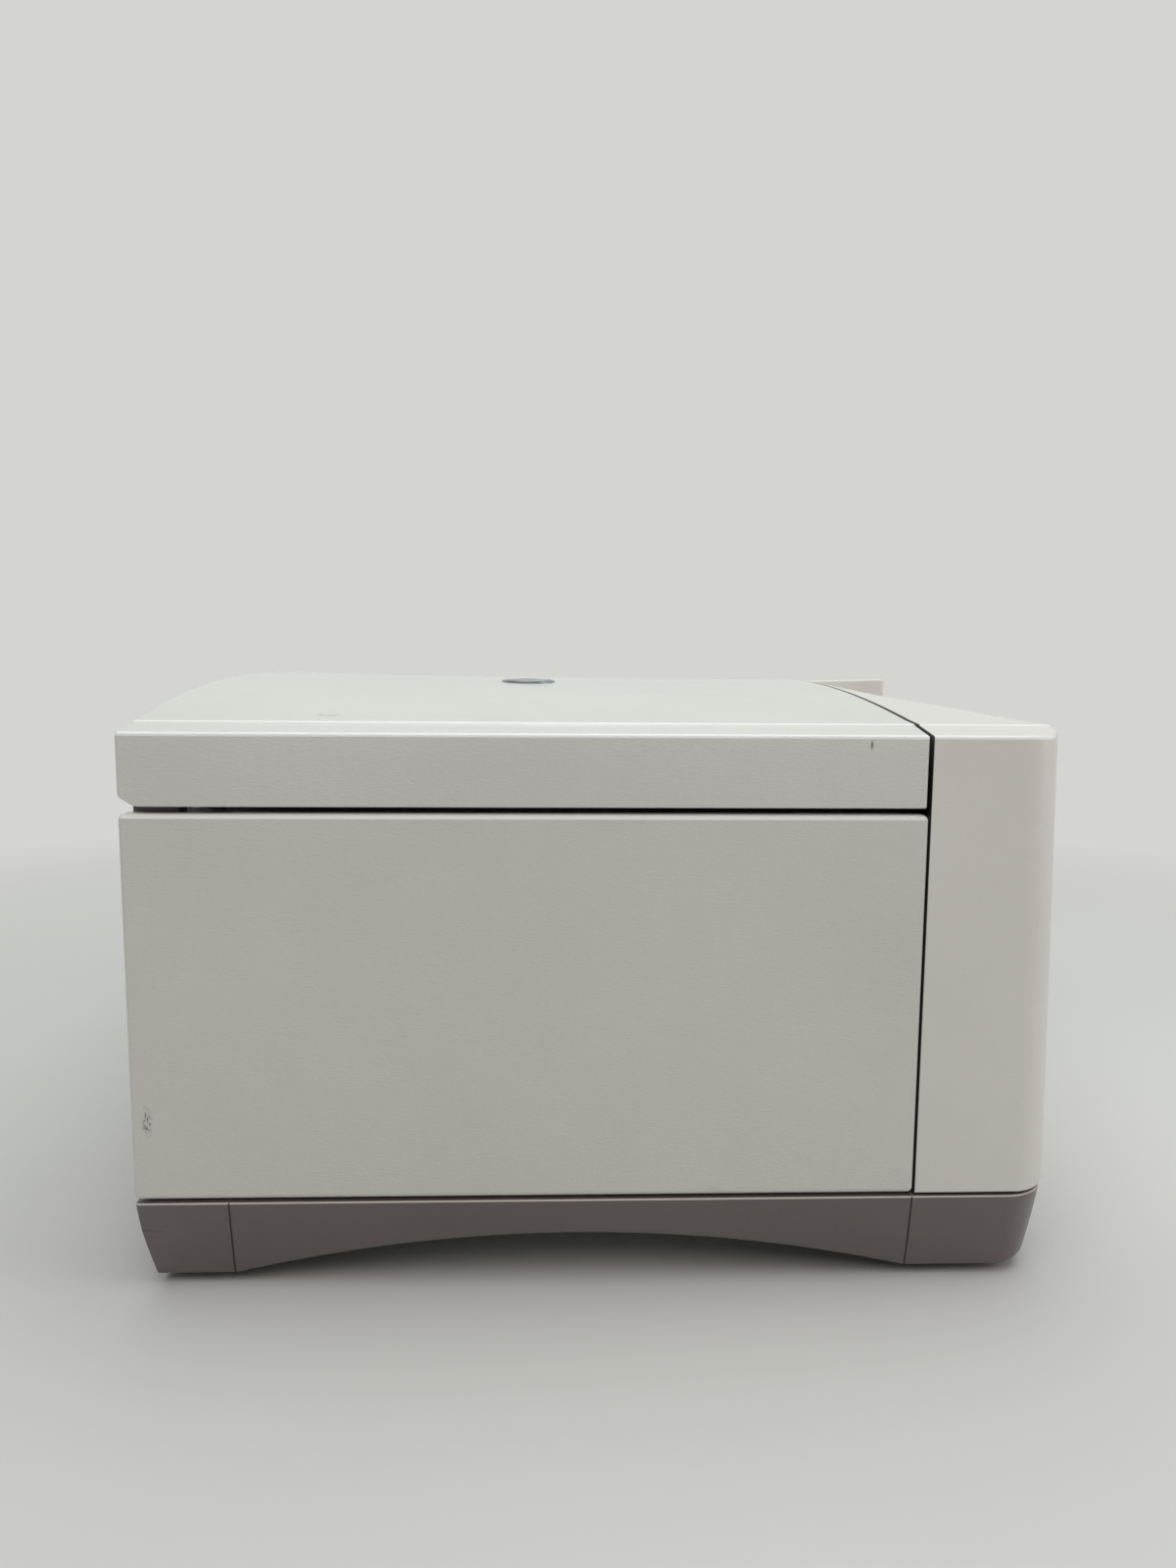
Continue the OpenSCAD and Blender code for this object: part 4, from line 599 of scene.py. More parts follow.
# Painted light and shade, each as limits in millimetres along X, Z and either side of Y with a colour:
# painted highlights on the rounded top edges, on the fine raised line and on the lid's rear face, and
# painted shade on the rear faces of the front moulding and the console, in the seam gap
# Painted highlight along the rounded top edge of the sides
SIDE_EDGE_HIGHLIGHT = {"Z": (EDGE_Z - 0.6, EDGE_Z + 1.6), "Y": (HALF_W - 8, HALF_W + 1)}
# Painted highlight on the fine raised line inside the shoulder
CREASE_HIGHLIGHT = {"Z": (EDGE_Z + 5.2, EDGE_Z + 9), "Y": (EDGE_IN - 0.1, EDGE_IN + CREASE_RUN)}
# Painted shade on the rear face that stands across the seam gap
REAR_FACE_SHADE = ({"X": (FRONT_START - 1.0, FRONT_START + 0.4)}, "1d1c1b")
# Painted light: the lid's rear face made lighter than the rest of its paint
LID_REAR_LIGHT = ({"X": (REAR_X - 1.0, REAR_X + 0.3)}, "f0f0ec")
# Painted highlights and painted shade of the lid and of the front moulding
LID_PAINTED_LIGHT = [(SIDE_EDGE_HIGHLIGHT, "f5f6f3"), (CREASE_HIGHLIGHT, "f7f8f5"), LID_REAR_LIGHT]
FRONT_PAINTED_LIGHT = [(SIDE_EDGE_HIGHLIGHT, "f5f4f1"), (CREASE_HIGHLIGHT, "f7f6f3"), REAR_FACE_SHADE]
# Painted highlights along the side sheet's bent bottom and top edges
PANEL_HIGHLIGHTS = [
    ({"Z": (PANEL_BOTTOM - 1.0, PANEL_BOTTOM + 0.9)}, "efe9e4"),
    ({"Z": (PANEL_TOP - 2.6, PANEL_TOP + 1.0)}, "f8f4f0"),
]
# Painted highlight along the plinth's rounded top edge
PLINTH_HIGHLIGHT = [({"Z": (BASE_TOP - 1.0, BASE_TOP - 0.1)}, "c6beb9")]
COAT = {"Coat_Weight": 0.5, "Coat_Roughness": 0.22}
FRONT_PAINT = {"colour": "e2ded8", "rough": 0.44, "depth": 0.00013, **COAT}
FINISHES = {
    "lid": paint("lid_paint", "dbdad4", 0.42, depth=0.0003, scuffs=LID_SCUFFS, painted_light=LID_PAINTED_LIGHT, **COAT),
    "panel": paint(
        "panel_paint", "d8d6cf", 0.46, depth=0.0003, scuffs=PANEL_SCUFFS, painted_light=PANEL_HIGHLIGHTS, **COAT
    ),
    "front": paint("front_paint", painted_light=FRONT_PAINTED_LIGHT, **FRONT_PAINT),
    # The console's rear face gets the same painted shade
    "console": paint("console_paint", painted_light=[REAR_FACE_SHADE], **FRONT_PAINT),
    "liner": paint("liner_paint", "d3d5d1", 0.4, depth=0.00003),
    "plinth": paint(
        "plinth_plastic", "665d5b", 0.48, 1200.0, 0.00012, mottle=0.04, painted_light=PLINTH_HIGHLIGHT, **COAT
    ),
    "sheet": metal("sheet_steel", "b4b7b8", 0.42, (1.0, 0.15, 1.0), 300.0),
    "bowl": metal("bowl_steel", "c6c9cb", 0.24, (1.0, 1.0, 14.0), 160.0),
    "machined": metal("machined_steel", "c2c4c6", 0.2, (1.0, 1.0, 9.0), 500.0),
    "bright": metal("bright_steel", "d5d7d9", 0.12, (1.0, 1.0, 1.0), 800.0, 0.000008, 0.05),
    "latch": metal("latch_steel", "a9abac", 0.34, (1.0, 0.2, 1.0), 400.0),
    "winding": metal("winding", "7d4529", 0.45, (1.0, 1.0, 6.0), 700.0, 0.00008),
    "copper": metal("copper", "b9764d", 0.36, (1.0, 1.0, 1.0), 200.0, 0.00002, 0.35),
    "fins": metal("fin_aluminium", "adb0b3", 0.36, (1.0, 1.0, 0.1), 700.0),
    "rotor": metal("rotor_aluminium", "9b9fa3", 0.36, (1.0, 1.0, 1.0), 900.0, 0.00002, 0.08),
    "bucket": metal("bucket_aluminium", "b7babd", 0.3, (0.2, 1.0, 1.0), 600.0, 0.00002, 0.1),
    "cast": paint("motor_cast", "5d6164", 0.5, grain=500.0, depth=0.00015),
    "hinge": paint("hinge_black", "77716d", 0.4, grain=900.0, depth=0.00005),
    "strut": moulded("strut_black", "15161a", 0.22, 600.0, 0.00001),
    "seal": moulded("seal_rubber", "1b1c1e", 0.62, 900.0, 0.00005),
    "foot": moulded("foot_rubber", "191919", 0.7, 700.0, 0.00008),
    "foam": moulded("foam", "2a2b2c", 0.85, 350.0, 0.0005),
    "black": moulded("black_plastic", "1c1d1f", 0.4),
    "board": moulded("board_green", "1d5a3c", 0.3, 300.0, 0.00003),
    "can": moulded("compressor_black", "131416", 0.2, 120.0, 0.00004),
    "keyplate": moulded("plate_grey", "8b9197", 0.42, 1600.0, 0.00002),
    "key": moulded("key_grey", "c3c5c5", 0.35, 1600.0, 0.00002),
    "key_green": moulded("key_green", "4c8458", 0.35, 1600.0, 0.00002),
    "key_red": moulded("key_red", "a8453a", 0.35, 1600.0, 0.00002),
    "rim": moulded("rim_plastic", "868d95", 0.2, 900.0, 0.00001, Coat_Weight=1.0, Coat_Roughness=0.05),
    "nut": moulded("nut_black", "242629", 0.3, 900.0, 0.00003),
    "display": glass(
        "display_glass", "101a20", "18252c", 30.0, 1.0, (0.05, 0.16), IOR=1.5, Coat_Weight=0.6
    ),
    "lens": glass(
        "window_clear", "8c949d", "9aa2aa", 80.0, 0.8, (0.06, 0.16), IOR=1.45, Transmission_Weight=0.55
    ),
}

# Solids that stay, with their finish and the radius that softens their edges, in millimetres
KEPT = {
    "chassis_plate": ("sheet", 0), "tray_runners": ("sheet", 0), "rubber_feet": ("foot", 0.8),
    "side_panel_right": ("panel", 0), "rear_panel": ("panel", 0), "partition_wall": ("sheet", 0),
    "top_deck": ("sheet", 0), "chamber_seal": ("seal", 0), "chamber_bowl": ("bowl", 0),
    "evaporator_coil": ("copper", 0), "bowl_insulation": ("foam", 0), "motor_housing": ("cast", 0),
    "motor_stator": ("winding", 0), "motor_dampers": ("foot", 0), "motor_bearings": ("bright", 0),
    "compressor": ("can", 0), "condenser": ("fins", 0), "refrigerant_pipes": ("copper", 0),
    "fan_shroud": ("black", 0), "fan_guard": ("hinge", 0), "control_board": ("board", 0),
    "mains_inlet": ("black", 0.5), "panel_screws": ("bright", 0), "display_lens": ("display", 0.3),
    "keypad_plate": ("keyplate", 0.3), "latch_housings": ("latch", 0.4),
    "hinge_brackets": ("hinge", 0.8), "strut_cylinders": ("strut", 0), "drive_shaft": ("machined", 0),
    "rotor_yoke": ("rotor", 0.9), "rotor_nut": ("nut", 0.8), "plate_bucket_a": ("bucket", 0.6),
    "plate_bucket_b": ("bucket", 0.6), "lid_liner": ("liner", 0.8), "lid_strikers": ("latch", 0.4),
    "hinge_arms": ("latch", 0.5), "hinge_pins": ("bright", 0.3), "strut_rod_left": ("bright", 0),
    "strut_rod_right": ("bright", 0), "latch_bar": ("latch", 0.4), "fan_blades": ("black", 0),
    "mains_switch": ("black", 0.4), "key_open": ("key", 0.6), "key_start": ("key_green", 0.6),
    "key_stop": ("key_red", 0.6), "key_temperature": ("key", 0.5), "key_time": ("key", 0.5),
    "key_speed": ("key", 0.5), "drip_tray": ("plinth", 0.6),
}
WELD_M = 0.00002
BEVEL_ANGLE = math.radians(40)


def soften_edges(part, width):
    weld = part.modifiers.new("weld", "WELD")
    weld.merge_threshold = WELD_M
    bevel = part.modifiers.new("bevel", "BEVEL")
    bevel.width = width * MM
    bevel.segments = 2
    bevel.limit_method = "ANGLE"
    bevel.angle_limit = BEVEL_ANGLE
    bevel.use_clamp_overlap = True


for node_name, (finish, soft) in KEPT.items():
    solid = frame["nodes"][node_name]
    solid.data.materials.clear()
    solid.data.materials.append(FINISHES[finish])
    if soft:
        soften_edges(solid, soft)

# Lid: the notches for the hinges, by distance from the rotor's plane, the hole for the window, and
# the run, rise and rounding of its cut-back rear bottom edge
NOTCH_IN, NOTCH_OUT, NOTCH_TOP = 188.0, 230.4, 303.0
NOTCH_R, NOTCH_DEPTH = 2.5, 10.5
WINDOW_HOLE_R, WINDOW_HOLE_LOW = 17.5, 290.0
HEEL_RUN, HEEL_RISE, HEEL_EASE = 9.4, 5.8, 3.0


def bend(p0, p1, p2):
    """Curve from p0 to p2 that leaves and arrives along the lines to p1."""
    shares = [k / EDGE_STEPS for k in range(EDGE_STEPS + 1)]
    return [tuple(p0 * (1 - t) ** 2 + p1 * 2 * t * (1 - t) + p2 * t * t) for t in shares]


def heel_outline():
    """Space under the lid's rear bottom edge, which is cut back at a slant with rounded ends."""
    high = Vector((REAR_X, LID_BOTTOM + HEEL_RISE))
    low = Vector((REAR_X + HEEL_RUN, LID_BOTTOM))
    slant = (low - high).normalized() * HEEL_EASE
    out = [(REAR_X - OVERSHOOT, LID_BOTTOM - OVERSHOOT), (REAR_X - OVERSHOOT, high[1] + HEEL_EASE)]
    out += bend(high + Vector((0.0, HEEL_EASE)), high, high + slant)
    out += bend(low - slant, low, low + Vector((HEEL_EASE, 0.0)))
    out.append((low[0] + HEEL_EASE, LID_BOTTOM - OVERSHOOT))
    return out


def make_lid():
    cover = Cover(
        (REAR_X, LID_FRONT, -HALF_W, LID_RIGHT), creased(lid_z), LID_BOTTOM,
        corners=(2.0, 1.6, 1.6, 2.0), edges=(1.6, 1.2, 1.7, 1.2), wall=LID_WALL,
        bottoms=(1.0, 1.0, 1.3, 1.0),
    )
    obj = cover.build("lid_shell", extra_v=[-v for v in CREASE])
    cut(obj, [prism("c", heel_outline(), Y, -HALF_W - OVERSHOOT, LID_RIGHT + OVERSHOOT)])
    cutters = [prism("c", circle(*ROTOR, WINDOW_HOLE_R), Z, WINDOW_HOLE_LOW, ABOVE_ALL)]
    for s in (-1, 1):
        sides = sorted((ROTOR[1] + s * NOTCH_IN, ROTOR[1] + s * NOTCH_OUT))
        outline = rounded_rect(*sides, LID_BOTTOM - OVERSHOOT, NOTCH_TOP, NOTCH_R)
        cutters.append(prism("c", outline, X, REAR_X - OVERSHOOT, REAR_X + NOTCH_DEPTH))
    cut(obj, cutters)
    dress(obj, FINISHES["lid"], "lid", "lid_cover")


def make_right_cover():
    cover = Cover(
        (REAR_X, SEAM_X, COVER_LEFT, HALF_W), creased(lid_z), PANEL_TOP + COVER_GAP,
        corners=(2.0, 1.2, 1.2, 2.0), edges=(1.6, 1.2, 1.2, 1.7), wall=LID_WALL,
        bottoms=(0.8, 0.8, 0.8, 0.8),
    )
    obj = cover.build("cooling_bay_cover", extra_v=CREASE)
    dress(obj, FINISHES["lid"], "housing", "right_cover")


def front_lean(z):
    """How far the front stands in at a height."""
    return FRONT_LEAN * (z - BASE_TOP) / (EDGE_Z - BASE_TOP)


def make_front():
    cover = Cover(
        (FRONT_START, FRONT_X, -HALF_W, HALF_W), creased(lid_z), PANEL_BOTTOM,
        corners=(1.0, FRONT_R, FRONT_R, 1.0), edges=(1.0, 3.2, 1.8, 1.8), wall=FRONT_WALL,
        bottoms=(0.6, 5.0, 1.2, 1.2), lean=front_lean,
    )
    obj = cover.build("front_moulding", step=12.0, extra_v=[s * v for v in CREASE for s in (-1, 1)])
    outline = rounded_rect(
        FRONT_START - OVERSHOOT, CONSOLE_X + OVERSHOOT,
        COVER_LEFT - CONSOLE_GAP, HALF_W + OVERSHOOT, 2.0,
    )
    cut(obj, [prism("c", outline, Z, CONSOLE_LOW - CONSOLE_GAP, ABOVE_ALL)])
    dress(obj, FINISHES["front"], "housing", "front_panel")


# Console: the opening for its keys, and the thickness of its roof
FACE_GAP, FACE_R, FACE_DEPTH = 0.3, 3.0, 13.0
CONSOLE_ROOF = 9.0


def make_console():
    cover = Cover(
        (FRONT_START, CONSOLE_X, COVER_LEFT, HALF_W), console_z, CONSOLE_LOW,
        corners=(1.2, 4.0, FRONT_R, 1.2), edges=(1.0, 3.0, 2.2, 2.2), wall=FRONT_WALL,
    )
    shell = solid_cover(
        "console_shell_dressed", cover, 0.0, CONSOLE_LOW,
        lambda u, v, pu, pv: console_z(pu, pv) - cover.drop(u, v),
    )
    hollow = solid_cover(
        "c", cover, FRONT_WALL, CONSOLE_LOW + FRONT_WALL,
        lambda u, v, pu, pv: console_z(pu, pv) - CONSOLE_ROOF,
    )
    (y0, y1), (z0, z1) = span("keypad_plate", Y), span("keypad_plate", Z)
    outline = rounded_rect(y0 - FACE_GAP, y1 + FACE_GAP, z0 - FACE_GAP, z1 + FACE_GAP, FACE_R)
    face = prism("c", outline, X, CONSOLE_X - FACE_DEPTH, CONSOLE_X + OVERSHOOT)
    cut(shell, [hollow, face])
    dress(shell, FINISHES["console"], "housing", "console_shell")


def make_side_panel():
    outside, inside = span("side_panel_left", Y)
    depth = inside - outside
    cover = Cover(
        (REAR_X, SEAM_X, PANEL_BOTTOM, PANEL_TOP), lambda u, v: depth, 0.0,
        corners=(3.2, 3.2, 3.2, 3.2), edges=(2.2, 2.2, 3.0, 3.0), wall=PANEL_WALL,
        bottoms=(0.3, 0.3, 0.3, 0.3),
    )
    obj = cover.build("side_sheet_left", place=lambda u, v, h: (u, inside - h, v), step=30.0)
    dress(obj, FINISHES["panel"], "housing", "side_panel_left")


# Plinth: one section swept round the machine. Its face leans in on one arc, which is less steep at
# the top than on average and steeper at the bottom.
BASE_LEAN = 8.5
BASE_SLOPE = math.atan(BASE_LEAN / (BASE_TOP - BASE_CLEAR))
TOP_SLOPE = 0.75 * BASE_SLOPE
BASE_ARC_R = math.hypot(BASE_LEAN, BASE_TOP - BASE_CLEAR) / 2 / math.sin(BASE_SLOPE - TOP_SLOPE)
BASE_ARC_IN = BASE_ARC_R * math.cos(TOP_SLOPE)
BASE_ARC_Z = BASE_TOP + BASE_ARC_R * math.sin(TOP_SLOPE)
# The arch in the side runs, between the seam and the rear run
REAR_RUN_X = span("base_skirt_rear", X)[1]
ARCH_END, ARCH_RISE = 1.0, 24.4
ARCH_HALF = (SEAM_X - REAR_RUN_X) / 2 - ARCH_END
ARCH_MID = (SEAM_X + REAR_RUN_X) / 2
ARCH_R = (ARCH_HALF**2 + ARCH_RISE**2) / (2 * ARCH_RISE)
# Flange and wall, the rounding of the top and of the hem, and how much rounder the hem gets over
# this share of the front corner
FLANGE_W, FLANGE_T, TOP_R = 9.0, 3.0, 1.0
HEM_R, TOE_R, TOE_SHARE = 1.2, 4.3, 0.7
SIDE_STEPS, TOP_STEPS, INNER_STEPS = 11, 3, 4
# Corners, the rounded ends of the runs, and the opening for the drip tray, whose lips are wider
PLINTH_R, PLINTH_REAR_R, REAR_TURN = 28.0, 2.5, 14.0
END_R, SEAM_GAP = 0.4, 0.01
TRAY_GAP, TRAY_LIP, TRAY_HOLE_R, TRAY_HOLE_DEPTH = 0.4, 4.0, 1.0, 22.0


def plinth_in(v):
    """How far the plinth's face stands in at a height."""
    return BASE_ARC_IN - math.sqrt(BASE_ARC_R**2 - (BASE_ARC_Z - v) ** 2)


def arch_low(x):
    """Lower edge of a side run, which rises along the arch."""
    off = abs(x - ARCH_MID)
    if off >= ARCH_HALF:
        return BASE_CLEAR
    return BASE_CLEAR + ARCH_RISE - ARCH_R + math.sqrt(ARCH_R**2 - off**2)


def plinth_ring(x, y, nx, ny, low, corner=None, shrink=0.0):
    """Section of the plinth at one place; past a tight corner's centre the inside stays square."""
    toe = min(max((x - FRONT_X + PLINTH_R) / (TOE_SHARE * PLINTH_R), 0.0), 1.0)
    round_low = HEM_R + TOE_R * toe
    top = BASE_TOP - shrink
    low += shrink
    pairs = [(plinth_in(low) + shrink + round_low, low)]
    for k in range(1, EDGE_STEPS + 1):
        a = HALF_PI * k / EDGE_STEPS
        v = low + round_low * (1 - math.cos(a))
        pairs.append((plinth_in(v) + shrink + round_low * (1 - math.sin(a)), v))
    start = low + round_low
    end = top - TOP_R
    for k in range(1, SIDE_STEPS + 1):
        v = start + (end - start) * k / SIDE_STEPS
        pairs.append((plinth_in(v) + shrink, v))
    for k in range(1, TOP_STEPS + 1):
        a = HALF_PI * k / TOP_STEPS
        pairs.append((shrink + TOP_R * (1 - math.cos(a)), end + TOP_R * math.sin(a)))
    under = top - FLANGE_T + 2 * shrink
    pairs += [(FLANGE_W - shrink, top), (FLANGE_W - shrink, under)]
    for k in range(INNER_STEPS + 1):
        v = under + (low - under) * k / INNER_STEPS
        pairs.append((plinth_in(v) + FLANGE_T - shrink, v))
    if not corner:
        return [(x - nx * u, y - ny * u, v) for u, v in pairs]
    r, toward = corner
    cx, cy = x - nx * r, y - ny * r
    ring = []
    for u, v in pairs:
        past = max(u - r, 0.0)
        near = max(r - u, 0.0)
        ring.append((cx + nx * near + past, cy + ny * near + toward * past, v))
    return ring


def make_plinth(name, path, node):
    rings = [plinth_ring(*path[0], shrink=END_R)]
    rings += [plinth_ring(*place) for place in path[1:-1]]
    rings.append(plinth_ring(*path[-1], shrink=END_R))
    return dress(loft(name, rings), FINISHES["plinth"], "housing", node)


def straight(x0, x1, y, way, low=lambda x: BASE_CLEAR, count=2):
    """Places along one side, each with its outward direction and the plinth's lower edge."""
    step = (x1 - x0) / count
    xs = [x0, x0 + math.copysign(END_R, step)]
    xs += [x0 + step * k for k in range(1, count)] + [x1 - math.copysign(END_R, step), x1]
    return [(x, y, 0.0, way, low(x)) for x in xs]


def turn(cx, cy, r, start, count):
    """Places round a quarter of a circle, as straight gives them."""
    out = []
    for k in range(count + 1):
        a = math.radians(start + 90.0 * k / count)
        out.append((cx + r * math.cos(a), cy + r * math.sin(a), math.cos(a), math.sin(a), BASE_CLEAR))
    return out


def mirrored(path):
    """The same places on the machine's other side, in reverse order."""
    out = []
    for x, y, nx, ny, low, *corners in reversed(path):
        out.append((x, -y, nx, -ny, low, *[(r, -toward) for r, toward in corners]))
    return out


def make_side_plinths():
    for side, way in (("left", -1.0), ("right", 1.0)):
        node = "base_skirt_" + side
        path = straight(*span(node, X), way * HALF_W, way, arch_low, 72)
        make_plinth("plinth_" + side, path, node)


def make_rear_plinth():
    r = PLINTH_REAR_R
    left = straight(REAR_RUN_X, REAR_X + REAR_TURN, -HALF_W, -1.0)[:-2]
    corner = [(*place, (r, 1.0)) for place in turn(REAR_X + r, -HALF_W + r, r, 180.0, 14)]
    half = left + corner[::-1]
    make_plinth("plinth_rear", half + mirrored(half), "base_skirt_rear")


def make_front_plinth():
    """Front run, with the opening for the drip tray."""
    r = PLINTH_R
    half = straight(SEAM_X + SEAM_GAP, FRONT_X - r, -HALF_W, -1.0)[:-2]
    half += turn(FRONT_X - r, -HALF_W + r, r, -90.0, 24)
    obj = make_plinth("plinth_front", half + mirrored(half), "base_skirt_front")
    (y0, y1), (z0, z1) = span("drip_tray", Y), span("drip_tray", Z)
    side = TRAY_LIP - TRAY_GAP
    outline = rounded_rect(y0 + side, y1 - side, z0 - TRAY_GAP, z1 + TRAY_GAP, TRAY_HOLE_R)
    cut(obj, [prism("c", outline, X, FRONT_X - TRAY_HOLE_DEPTH, FRONT_X + OVERSHOOT)])
    shade(obj)


def lathe(name, profile, centre):
    """Closed ring of a profile of radius and height, turned about a vertical axis."""
    rings = []
    for k in range(ROUND):
        a = 2 * math.pi * k / ROUND
        rings.append([(centre[0] + r * math.cos(a), centre[1] + r * math.sin(a), z) for r, z in profile])
    rings.append(rings[0])
    return loft(name, rings, caps=False)


# Window: radii of the bore, the tube through the lid, the flange on it and the rounded top of the
# rim, then heights above the crown, and the dome's sizes
BORE_R, TUBE_R, FLANGE_R, SHELF_R = 14.5, 17.3, 20.0, 17.0
RIM_RISE, RIM_SUNK, RIM_EDGE = 2.0, 1.5, 0.2
RIM_CHAMFER = ((0.2, 0.1), (0.0, 0.5))
CURVE_R, CURVE_W, CURVE_H, CURVE_STEPS = 17.6, 2.2, 1.6, 7
PLUG_R, PLUG_H, DISC_R, DOME_R = 14.3, 3.0, 16.8, 16.0
DISC_H, BEVEL_W, DOME_H, DOME_STEPS = 1.0, 0.3, 1.1, 8


def make_window():
    """Low domed eye: a sloping rim and a clear dome inside it."""
    crown = lid_z(*ROTOR)
    top = crown + RIM_RISE
    seat = top - CURVE_H
    low = span("window_bezel", Z)[0]
    profile = [(BORE_R, low), (TUBE_R, low), (TUBE_R, crown - RIM_SUNK)]
    profile += [(FLANGE_R, crown - RIM_SUNK), (FLANGE_R, crown - RIM_EDGE)]
    for k in range(1, CURVE_STEPS + 1):
        a = HALF_PI * k / CURVE_STEPS
        profile.append((CURVE_R + CURVE_W * math.cos(a), seat + CURVE_H * math.sin(a)))
    profile += [(SHELF_R + out, top - down) for out, down in RIM_CHAMFER]
    profile += [(SHELF_R, seat), (BORE_R, seat)]
    rim = lathe("window_rim", profile, ROTOR)
    dress(rim, FINISHES["rim"], "lid", "window_bezel")

    brim = seat + DISC_H + BEVEL_W
    profile = [(0.0, seat - PLUG_H), (PLUG_R, seat - PLUG_H), (PLUG_R, seat), (DISC_R, seat)]
    profile += [(DISC_R, seat + DISC_H), (DISC_R - BEVEL_W, brim)]
    for k in range(DOME_STEPS + 1):
        out = 1 - k / DOME_STEPS
        profile.append((DOME_R * out, brim + DOME_H * (1 - out**2)))
    lens = lathe("window_dome", profile, ROTOR)
    dress(lens, FINISHES["lens"], "lid", "window_lens")


make_lid()
make_right_cover()
make_front()
make_console()
make_side_panel()
make_side_plinths()
make_rear_plinth()
make_front_plinth()
make_window()

# Camera at the photograph's place: focal length and image height in pixels, sensor, place, and how
# far it looks down, to the side and rolls, in degrees
FOCAL_PX, IMAGE_PX, SENSOR = 1109.0, 1600.0, 36.0
EYE = Vector((-46.77, -893.08, 353.2))
PITCH, YAW, ROLL = 6.788, 1.945, 0.405
FAR_CLIP_M = 50.0


def turned(pitch, yaw, roll):
    """Turn of a camera that looks along +Y, then down, to the side and rolled, in degrees."""
    p, y, r = (math.radians(a) for a in (pitch, yaw, roll))
    ahead = Vector((math.sin(y) * math.cos(p), math.cos(y) * math.cos(p), -math.sin(p)))
    right = Vector((math.cos(y), -math.sin(y), 0.0))
    up = right.cross(ahead)
    right, up = math.cos(r) * right + math.sin(r) * up, -math.sin(r) * right + math.cos(r) * up
    return Matrix((right, up, -ahead)).transposed().to_4x4()


def make_camera():
    view = bpy.data.cameras.new("camera")
    view.sensor_width = SENSOR
    view.lens = SENSOR * FOCAL_PX / IMAGE_PX
    view.clip_end = FAR_CLIP_M
    camera = bpy.data.objects.new("camera", view)
    camera.matrix_world = Matrix.Translation(EYE * MM) @ turned(PITCH, YAW, ROLL)
    bpy.context.scene.collection.objects.link(camera)
    bpy.context.scene.camera = camera


# Floor with a backdrop that rises from it in one curve. Between two distances from the part it
# passes into an even pale tone, in what the camera sees straight, by reflection and through glass.
FLOOR_NEAR, FLOOR_FAR, FLOOR_HALF = -4000.0, 2600.0, 6000.0
SWEEP_R, SWEEP_STEPS, BACKDROP_TOP = 1000.0, 24, 4000.0
GLOW_START_M, GLOW_FULL_M = 0.45, 1.5
BACKDROP = (0.66, 0.665, 0.64, 1.0)


def floor_material():
    net = Net("floor", Roughness=0.75)
    cloud = net.ramp(net.noise(scale=1.5, rough=0.5), 0.3, 0.7)
    net.finish(net.mix(cloud, rgb("d6d5d2"), rgb("dad9d6")))
    rays = net.node("LightPath").outputs
    seen = net.math("MAXIMUM", rays["Is Camera Ray"], rays["Is Glossy Ray"])
    seen = net.math("MAXIMUM", seen, rays["Is Transmission Ray"])
    away = net.ramp(net.vector("LENGTH", net.coord)["Value"], GLOW_START_M, GLOW_FULL_M)
    glow = net.node("Emission", Color=BACKDROP).outputs[0]
    share = net.math("MULTIPLY", seen, away)
    both = net.node("MixShader", i0=share, i1=net.bsdf.outputs[0], i2=glow)
    net.put(net.out, "Surface", both.outputs[0])
    return net.mat


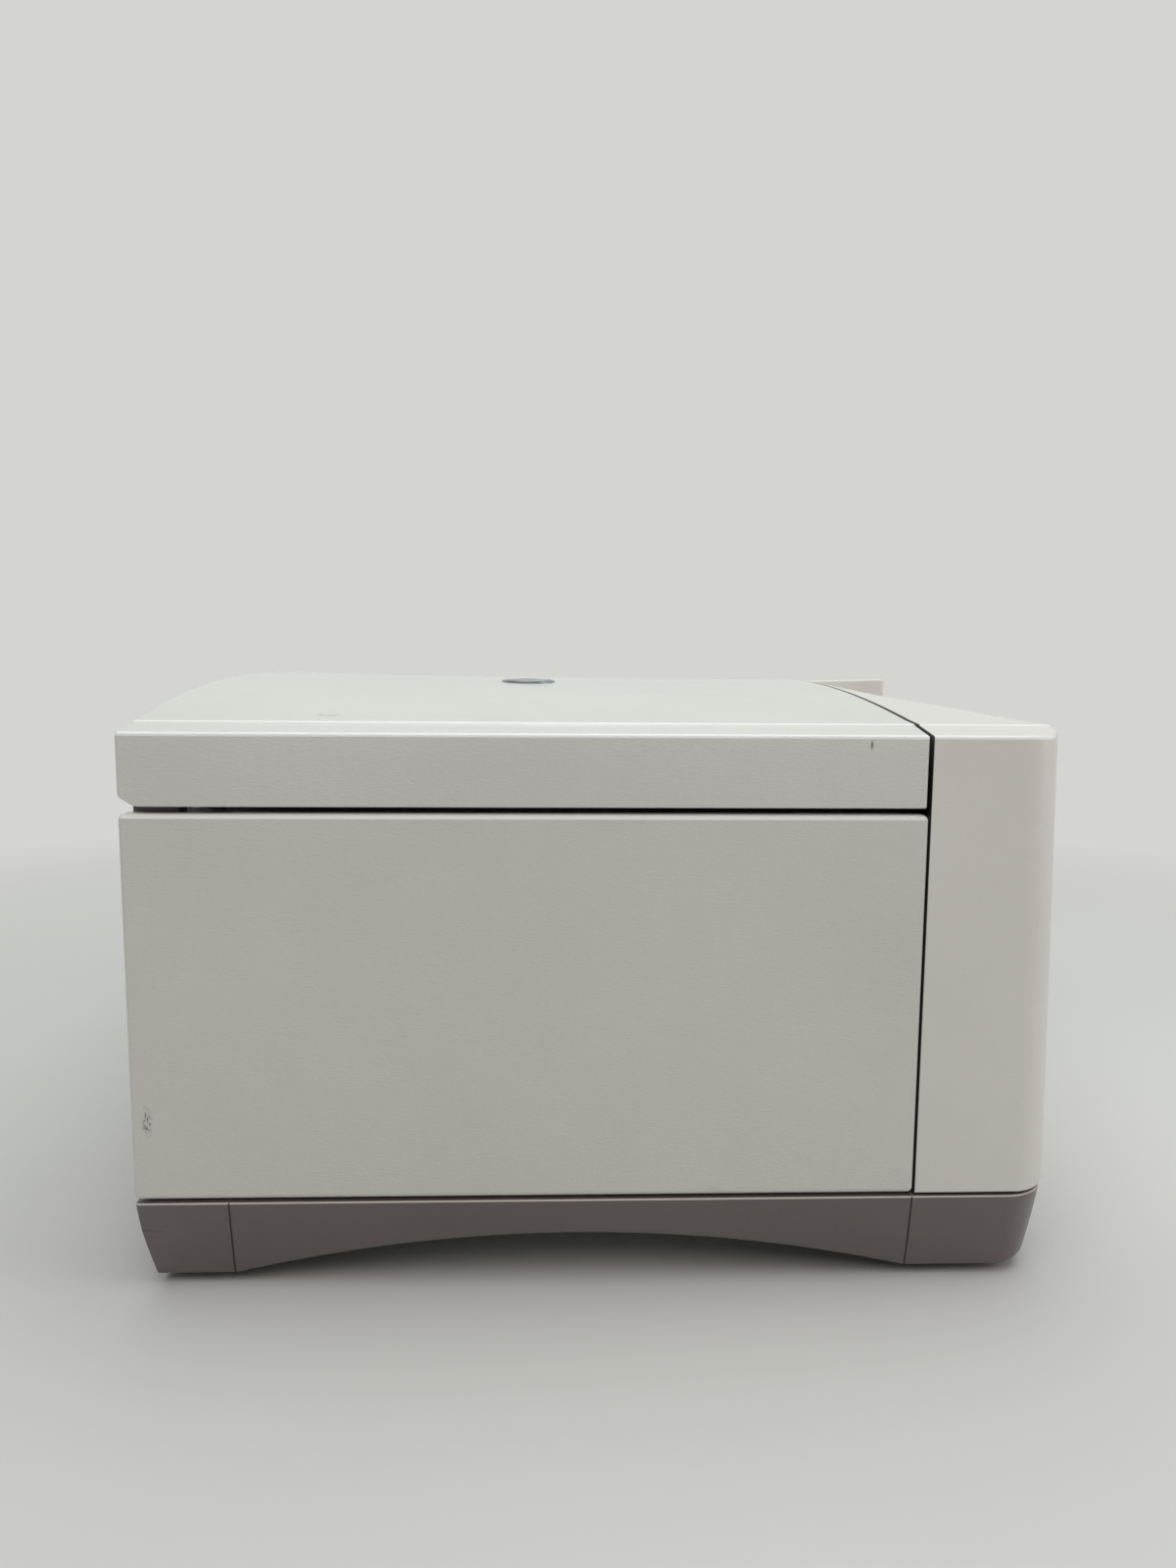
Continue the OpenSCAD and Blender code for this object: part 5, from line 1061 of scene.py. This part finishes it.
def make_floor():
    profile = [(FLOOR_NEAR, 0.0), (FLOOR_FAR - SWEEP_R, 0.0)]
    for k in range(1, SWEEP_STEPS + 1):
        a = HALF_PI * k / SWEEP_STEPS
        profile.append((FLOOR_FAR - SWEEP_R * (1 - math.sin(a)), SWEEP_R * (1 - math.cos(a))))
    profile.append((FLOOR_FAR, BACKDROP_TOP))
    n = len(profile)
    floor = add_mesh(
        "floor", [(x, y, z) for x in (-FLOOR_HALF, FLOOR_HALF) for y, z in profile],
        [(k, k + n, k + n + 1, k + 1) for k in range(n - 1)],
    )
    floor.data.shade_smooth()
    floor.data.materials.append(floor_material())


def area(name, place, aim, size, power, colour):
    """Soft lamp at a place in metres, turned to another."""
    light = bpy.data.lights.new(name, "AREA")
    light.shape = "RECTANGLE"
    light.size, light.size_y = size
    light.energy = power
    light.color = colour
    obj = bpy.data.objects.new(name, light)
    obj.location = place
    obj.rotation_euler = (Vector(aim) - Vector(place)).to_track_quat("-Z", "Y").to_euler()
    bpy.context.scene.collection.objects.link(obj)


# Lamps, placed in metres, and the sky
COOL_LIGHT, WARM_LIGHT = (0.925, 1.0, 1.01), (1.0, 0.93, 0.9)
SKY, SKY_STRENGTH = (0.93, 0.95, 0.94, 1.0), 0.22


def make_lights():
    area("ceiling", (0.1, 0.1, 2.1), (0.0, 0.0, 0.2), size=(2.6, 2.2), power=33.0, colour=COOL_LIGHT)
    area("fill", (-0.4, -1.7, 1.8), (0.0, -0.3, 0.2), size=(2.2, 1.2), power=12.0, colour=WARM_LIGHT)
    area("side", (2.4, -0.5, 1.0), (0.2, 0.0, 0.15), size=(1.6, 1.4), power=14.0, colour=WARM_LIGHT)


def make_world():
    """Dim sky as light, and the backdrop's tone where the camera looks past the backdrop."""
    world = bpy.data.worlds.new("world")
    world.use_nodes = True
    nodes, links = world.node_tree.nodes, world.node_tree.links
    nodes.clear()
    either = nodes.new("ShaderNodeMixShader")
    rays = nodes.new("ShaderNodeLightPath")
    links.new(rays.outputs["Is Camera Ray"], either.inputs[0])
    for socket, colour, strength in ((1, SKY, SKY_STRENGTH), (2, BACKDROP, 1.0)):
        light = nodes.new("ShaderNodeBackground")
        light.inputs["Color"].default_value = colour
        light.inputs["Strength"].default_value = strength
        links.new(light.outputs[0], either.inputs[socket])
    output = nodes.new("ShaderNodeOutputWorld")
    links.new(either.outputs[0], output.inputs[0])
    bpy.context.scene.world = world


make_camera()
make_floor()
make_lights()
make_world()
bpy.context.scene.view_settings.view_transform = "Standard"
